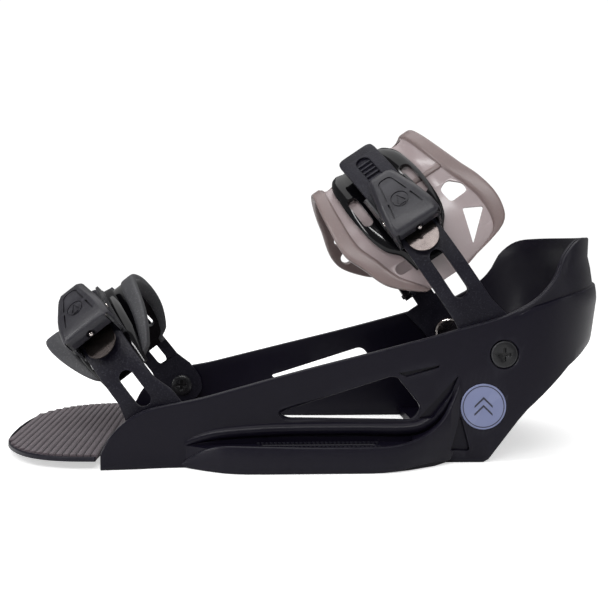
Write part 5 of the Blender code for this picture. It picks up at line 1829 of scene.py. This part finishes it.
def floor_finish():
    """A pale floor that looks a little brighter to the camera than it lights the piece."""
    material = bpy.data.materials.new("pale_floor")
    material.use_nodes = True
    tree = material.node_tree
    shader = tree.nodes["Principled BSDF"]
    shader.inputs["Base Color"].default_value = (0.85, 0.85, 0.85, 1)
    shader.inputs["Roughness"].default_value = 0.9
    shader.inputs["Emission Color"].default_value = (1, 1, 1, 1)
    seen = tree.nodes.new("ShaderNodeLightPath").outputs["Is Camera Ray"]
    put(tree, shader.inputs["Emission Strength"], math_node(tree, "MULTIPLY", seen, FLOOR_GLOW))
    return material


def studio_world(strength):
    """White behind the piece, and a weaker even light round it."""
    world = bpy.data.worlds.new("studio")
    world.use_nodes = True
    tree = world.node_tree
    seen = tree.nodes.new("ShaderNodeLightPath").outputs["Is Camera Ray"]
    more = math_node(tree, "MULTIPLY", seen, BACKDROP - strength)
    put(tree, tree.nodes["Background"].inputs["Strength"], math_node(tree, "ADD", more, strength))
    tree.nodes["Background"].inputs["Color"].default_value = (1, 1, 1, 1)
    return world


# Camera: place in metres, yaw, pitch and roll in radians, and shift
CAMERA_AT = (-0.0363, -0.51225, 0.10911)
CAMERA_TURN = (0.0469, -0.0444, 0.0025)
CAMERA_SHIFT = (0.033, -0.0296)

# Name, power, size, place and target of each area light
SOFTBOXES = (
    ("overhead_softbox", 40, (3.0, 3.0), (0.0, 0.3, 2.2), (0, 0, 0)),
    ("left_strip", 8, (0.1, 1.2), (-1.2, -0.5, 0.7), (0, 0, 0.08)),
    ("right_strip", 1.2, (0.1, 1.2), (1.3, -0.4, 0.6), (0, 0, 0.08)),
    ("front_strip", 12, (1.4, 0.08), (-0.2, -1.3, 1.2), (0, 0, 0.08)),
)


class BINDING_OT_stage(bpy.types.Operator):
    """Makes the pale floor, the soft light and the camera"""

    bl_idname = "binding.stage"
    bl_label = "Stage"

    def execute(self, context):
        stage = context.scene.binding_stage
        half = stage.floor_size / 2
        mesh = bpy.data.meshes.new("floor")
        corners = [(-half, -half, 0), (half, -half, 0), (half, half, 0), (-half, half, 0)]
        mesh.from_pydata(corners, [], [(0, 1, 2, 3)])
        floor = make_object("floor", mesh)
        mesh.materials.append(floor_finish())
        context.scene.world = studio_world(stage.sky)
        for name, power, size, place, target in SOFTBOXES:
            area_light(name, power * stage.light, size, place, target)
        camera = bpy.data.cameras.new("camera")
        camera.lens = stage.lens
        camera.sensor_width = 36
        camera.shift_x, camera.shift_y = CAMERA_SHIFT
        camera.clip_start = 0.01
        obj = make_object("camera", camera)
        yaw, pitch, roll = CAMERA_TURN
        ahead = Vector(
            (math.sin(yaw) * math.cos(pitch), math.cos(yaw) * math.cos(pitch), math.sin(pitch))
        )
        right = Vector((math.cos(yaw), -math.sin(yaw), 0))
        up = right.cross(ahead)
        tilted = right * math.cos(roll) + up * math.sin(roll)
        matrix = Matrix((tilted, tilted.cross(ahead), -ahead)).transposed().to_4x4()
        matrix.translation = CAMERA_AT
        obj.matrix_world = matrix
        context.scene.camera = obj
        context.scene.view_settings.view_transform = "Standard"
        return {"FINISHED"}


OPERATORS = (
    BINDING_OT_materials, BINDING_OT_chassis, BINDING_OT_toe_ramp, BINDING_OT_badges, BINDING_OT_fittings,
    BINDING_OT_ladders, BINDING_OT_straps, BINDING_OT_buckles, BINDING_OT_stage,
)


class BINDING_PT_panel(bpy.types.Panel):
    """Lists the settings and the steps that build the binding"""

    bl_idname = "BINDING_PT_panel"
    bl_label = "Strap binding"
    bl_space_type = "VIEW_3D"
    bl_region_type = "UI"
    bl_category = "Binding"

    def draw(self, context):
        scene = context.scene
        for group in (scene.binding_colours, scene.binding_finish, scene.binding_stage):
            box = self.layout.box()
            for key in group.__annotations__:
                box.prop(group, key)
        for operator in OPERATORS:
            self.layout.operator(operator.bl_idname)


SETTINGS = {
    "binding_colours": BindingColours, "binding_finish": BindingFinish, "binding_stage": BindingStage
}


def register():
    for name, settings in SETTINGS.items():
        bpy.utils.register_class(settings)
        setattr(bpy.types.Scene, name, bpy.props.PointerProperty(type=settings))
    for cls in (*OPERATORS, BINDING_PT_panel):
        bpy.utils.register_class(cls)


def unregister():
    for cls in (*OPERATORS, BINDING_PT_panel):
        bpy.utils.unregister_class(cls)
    for name, settings in SETTINGS.items():
        delattr(bpy.types.Scene, name)
        bpy.utils.unregister_class(settings)


def main():
    register()
    for operator in OPERATORS:
        category, name = operator.bl_idname.split(".")
        getattr(getattr(bpy.ops, category), name)()


if __name__ == "__main__":
    main()
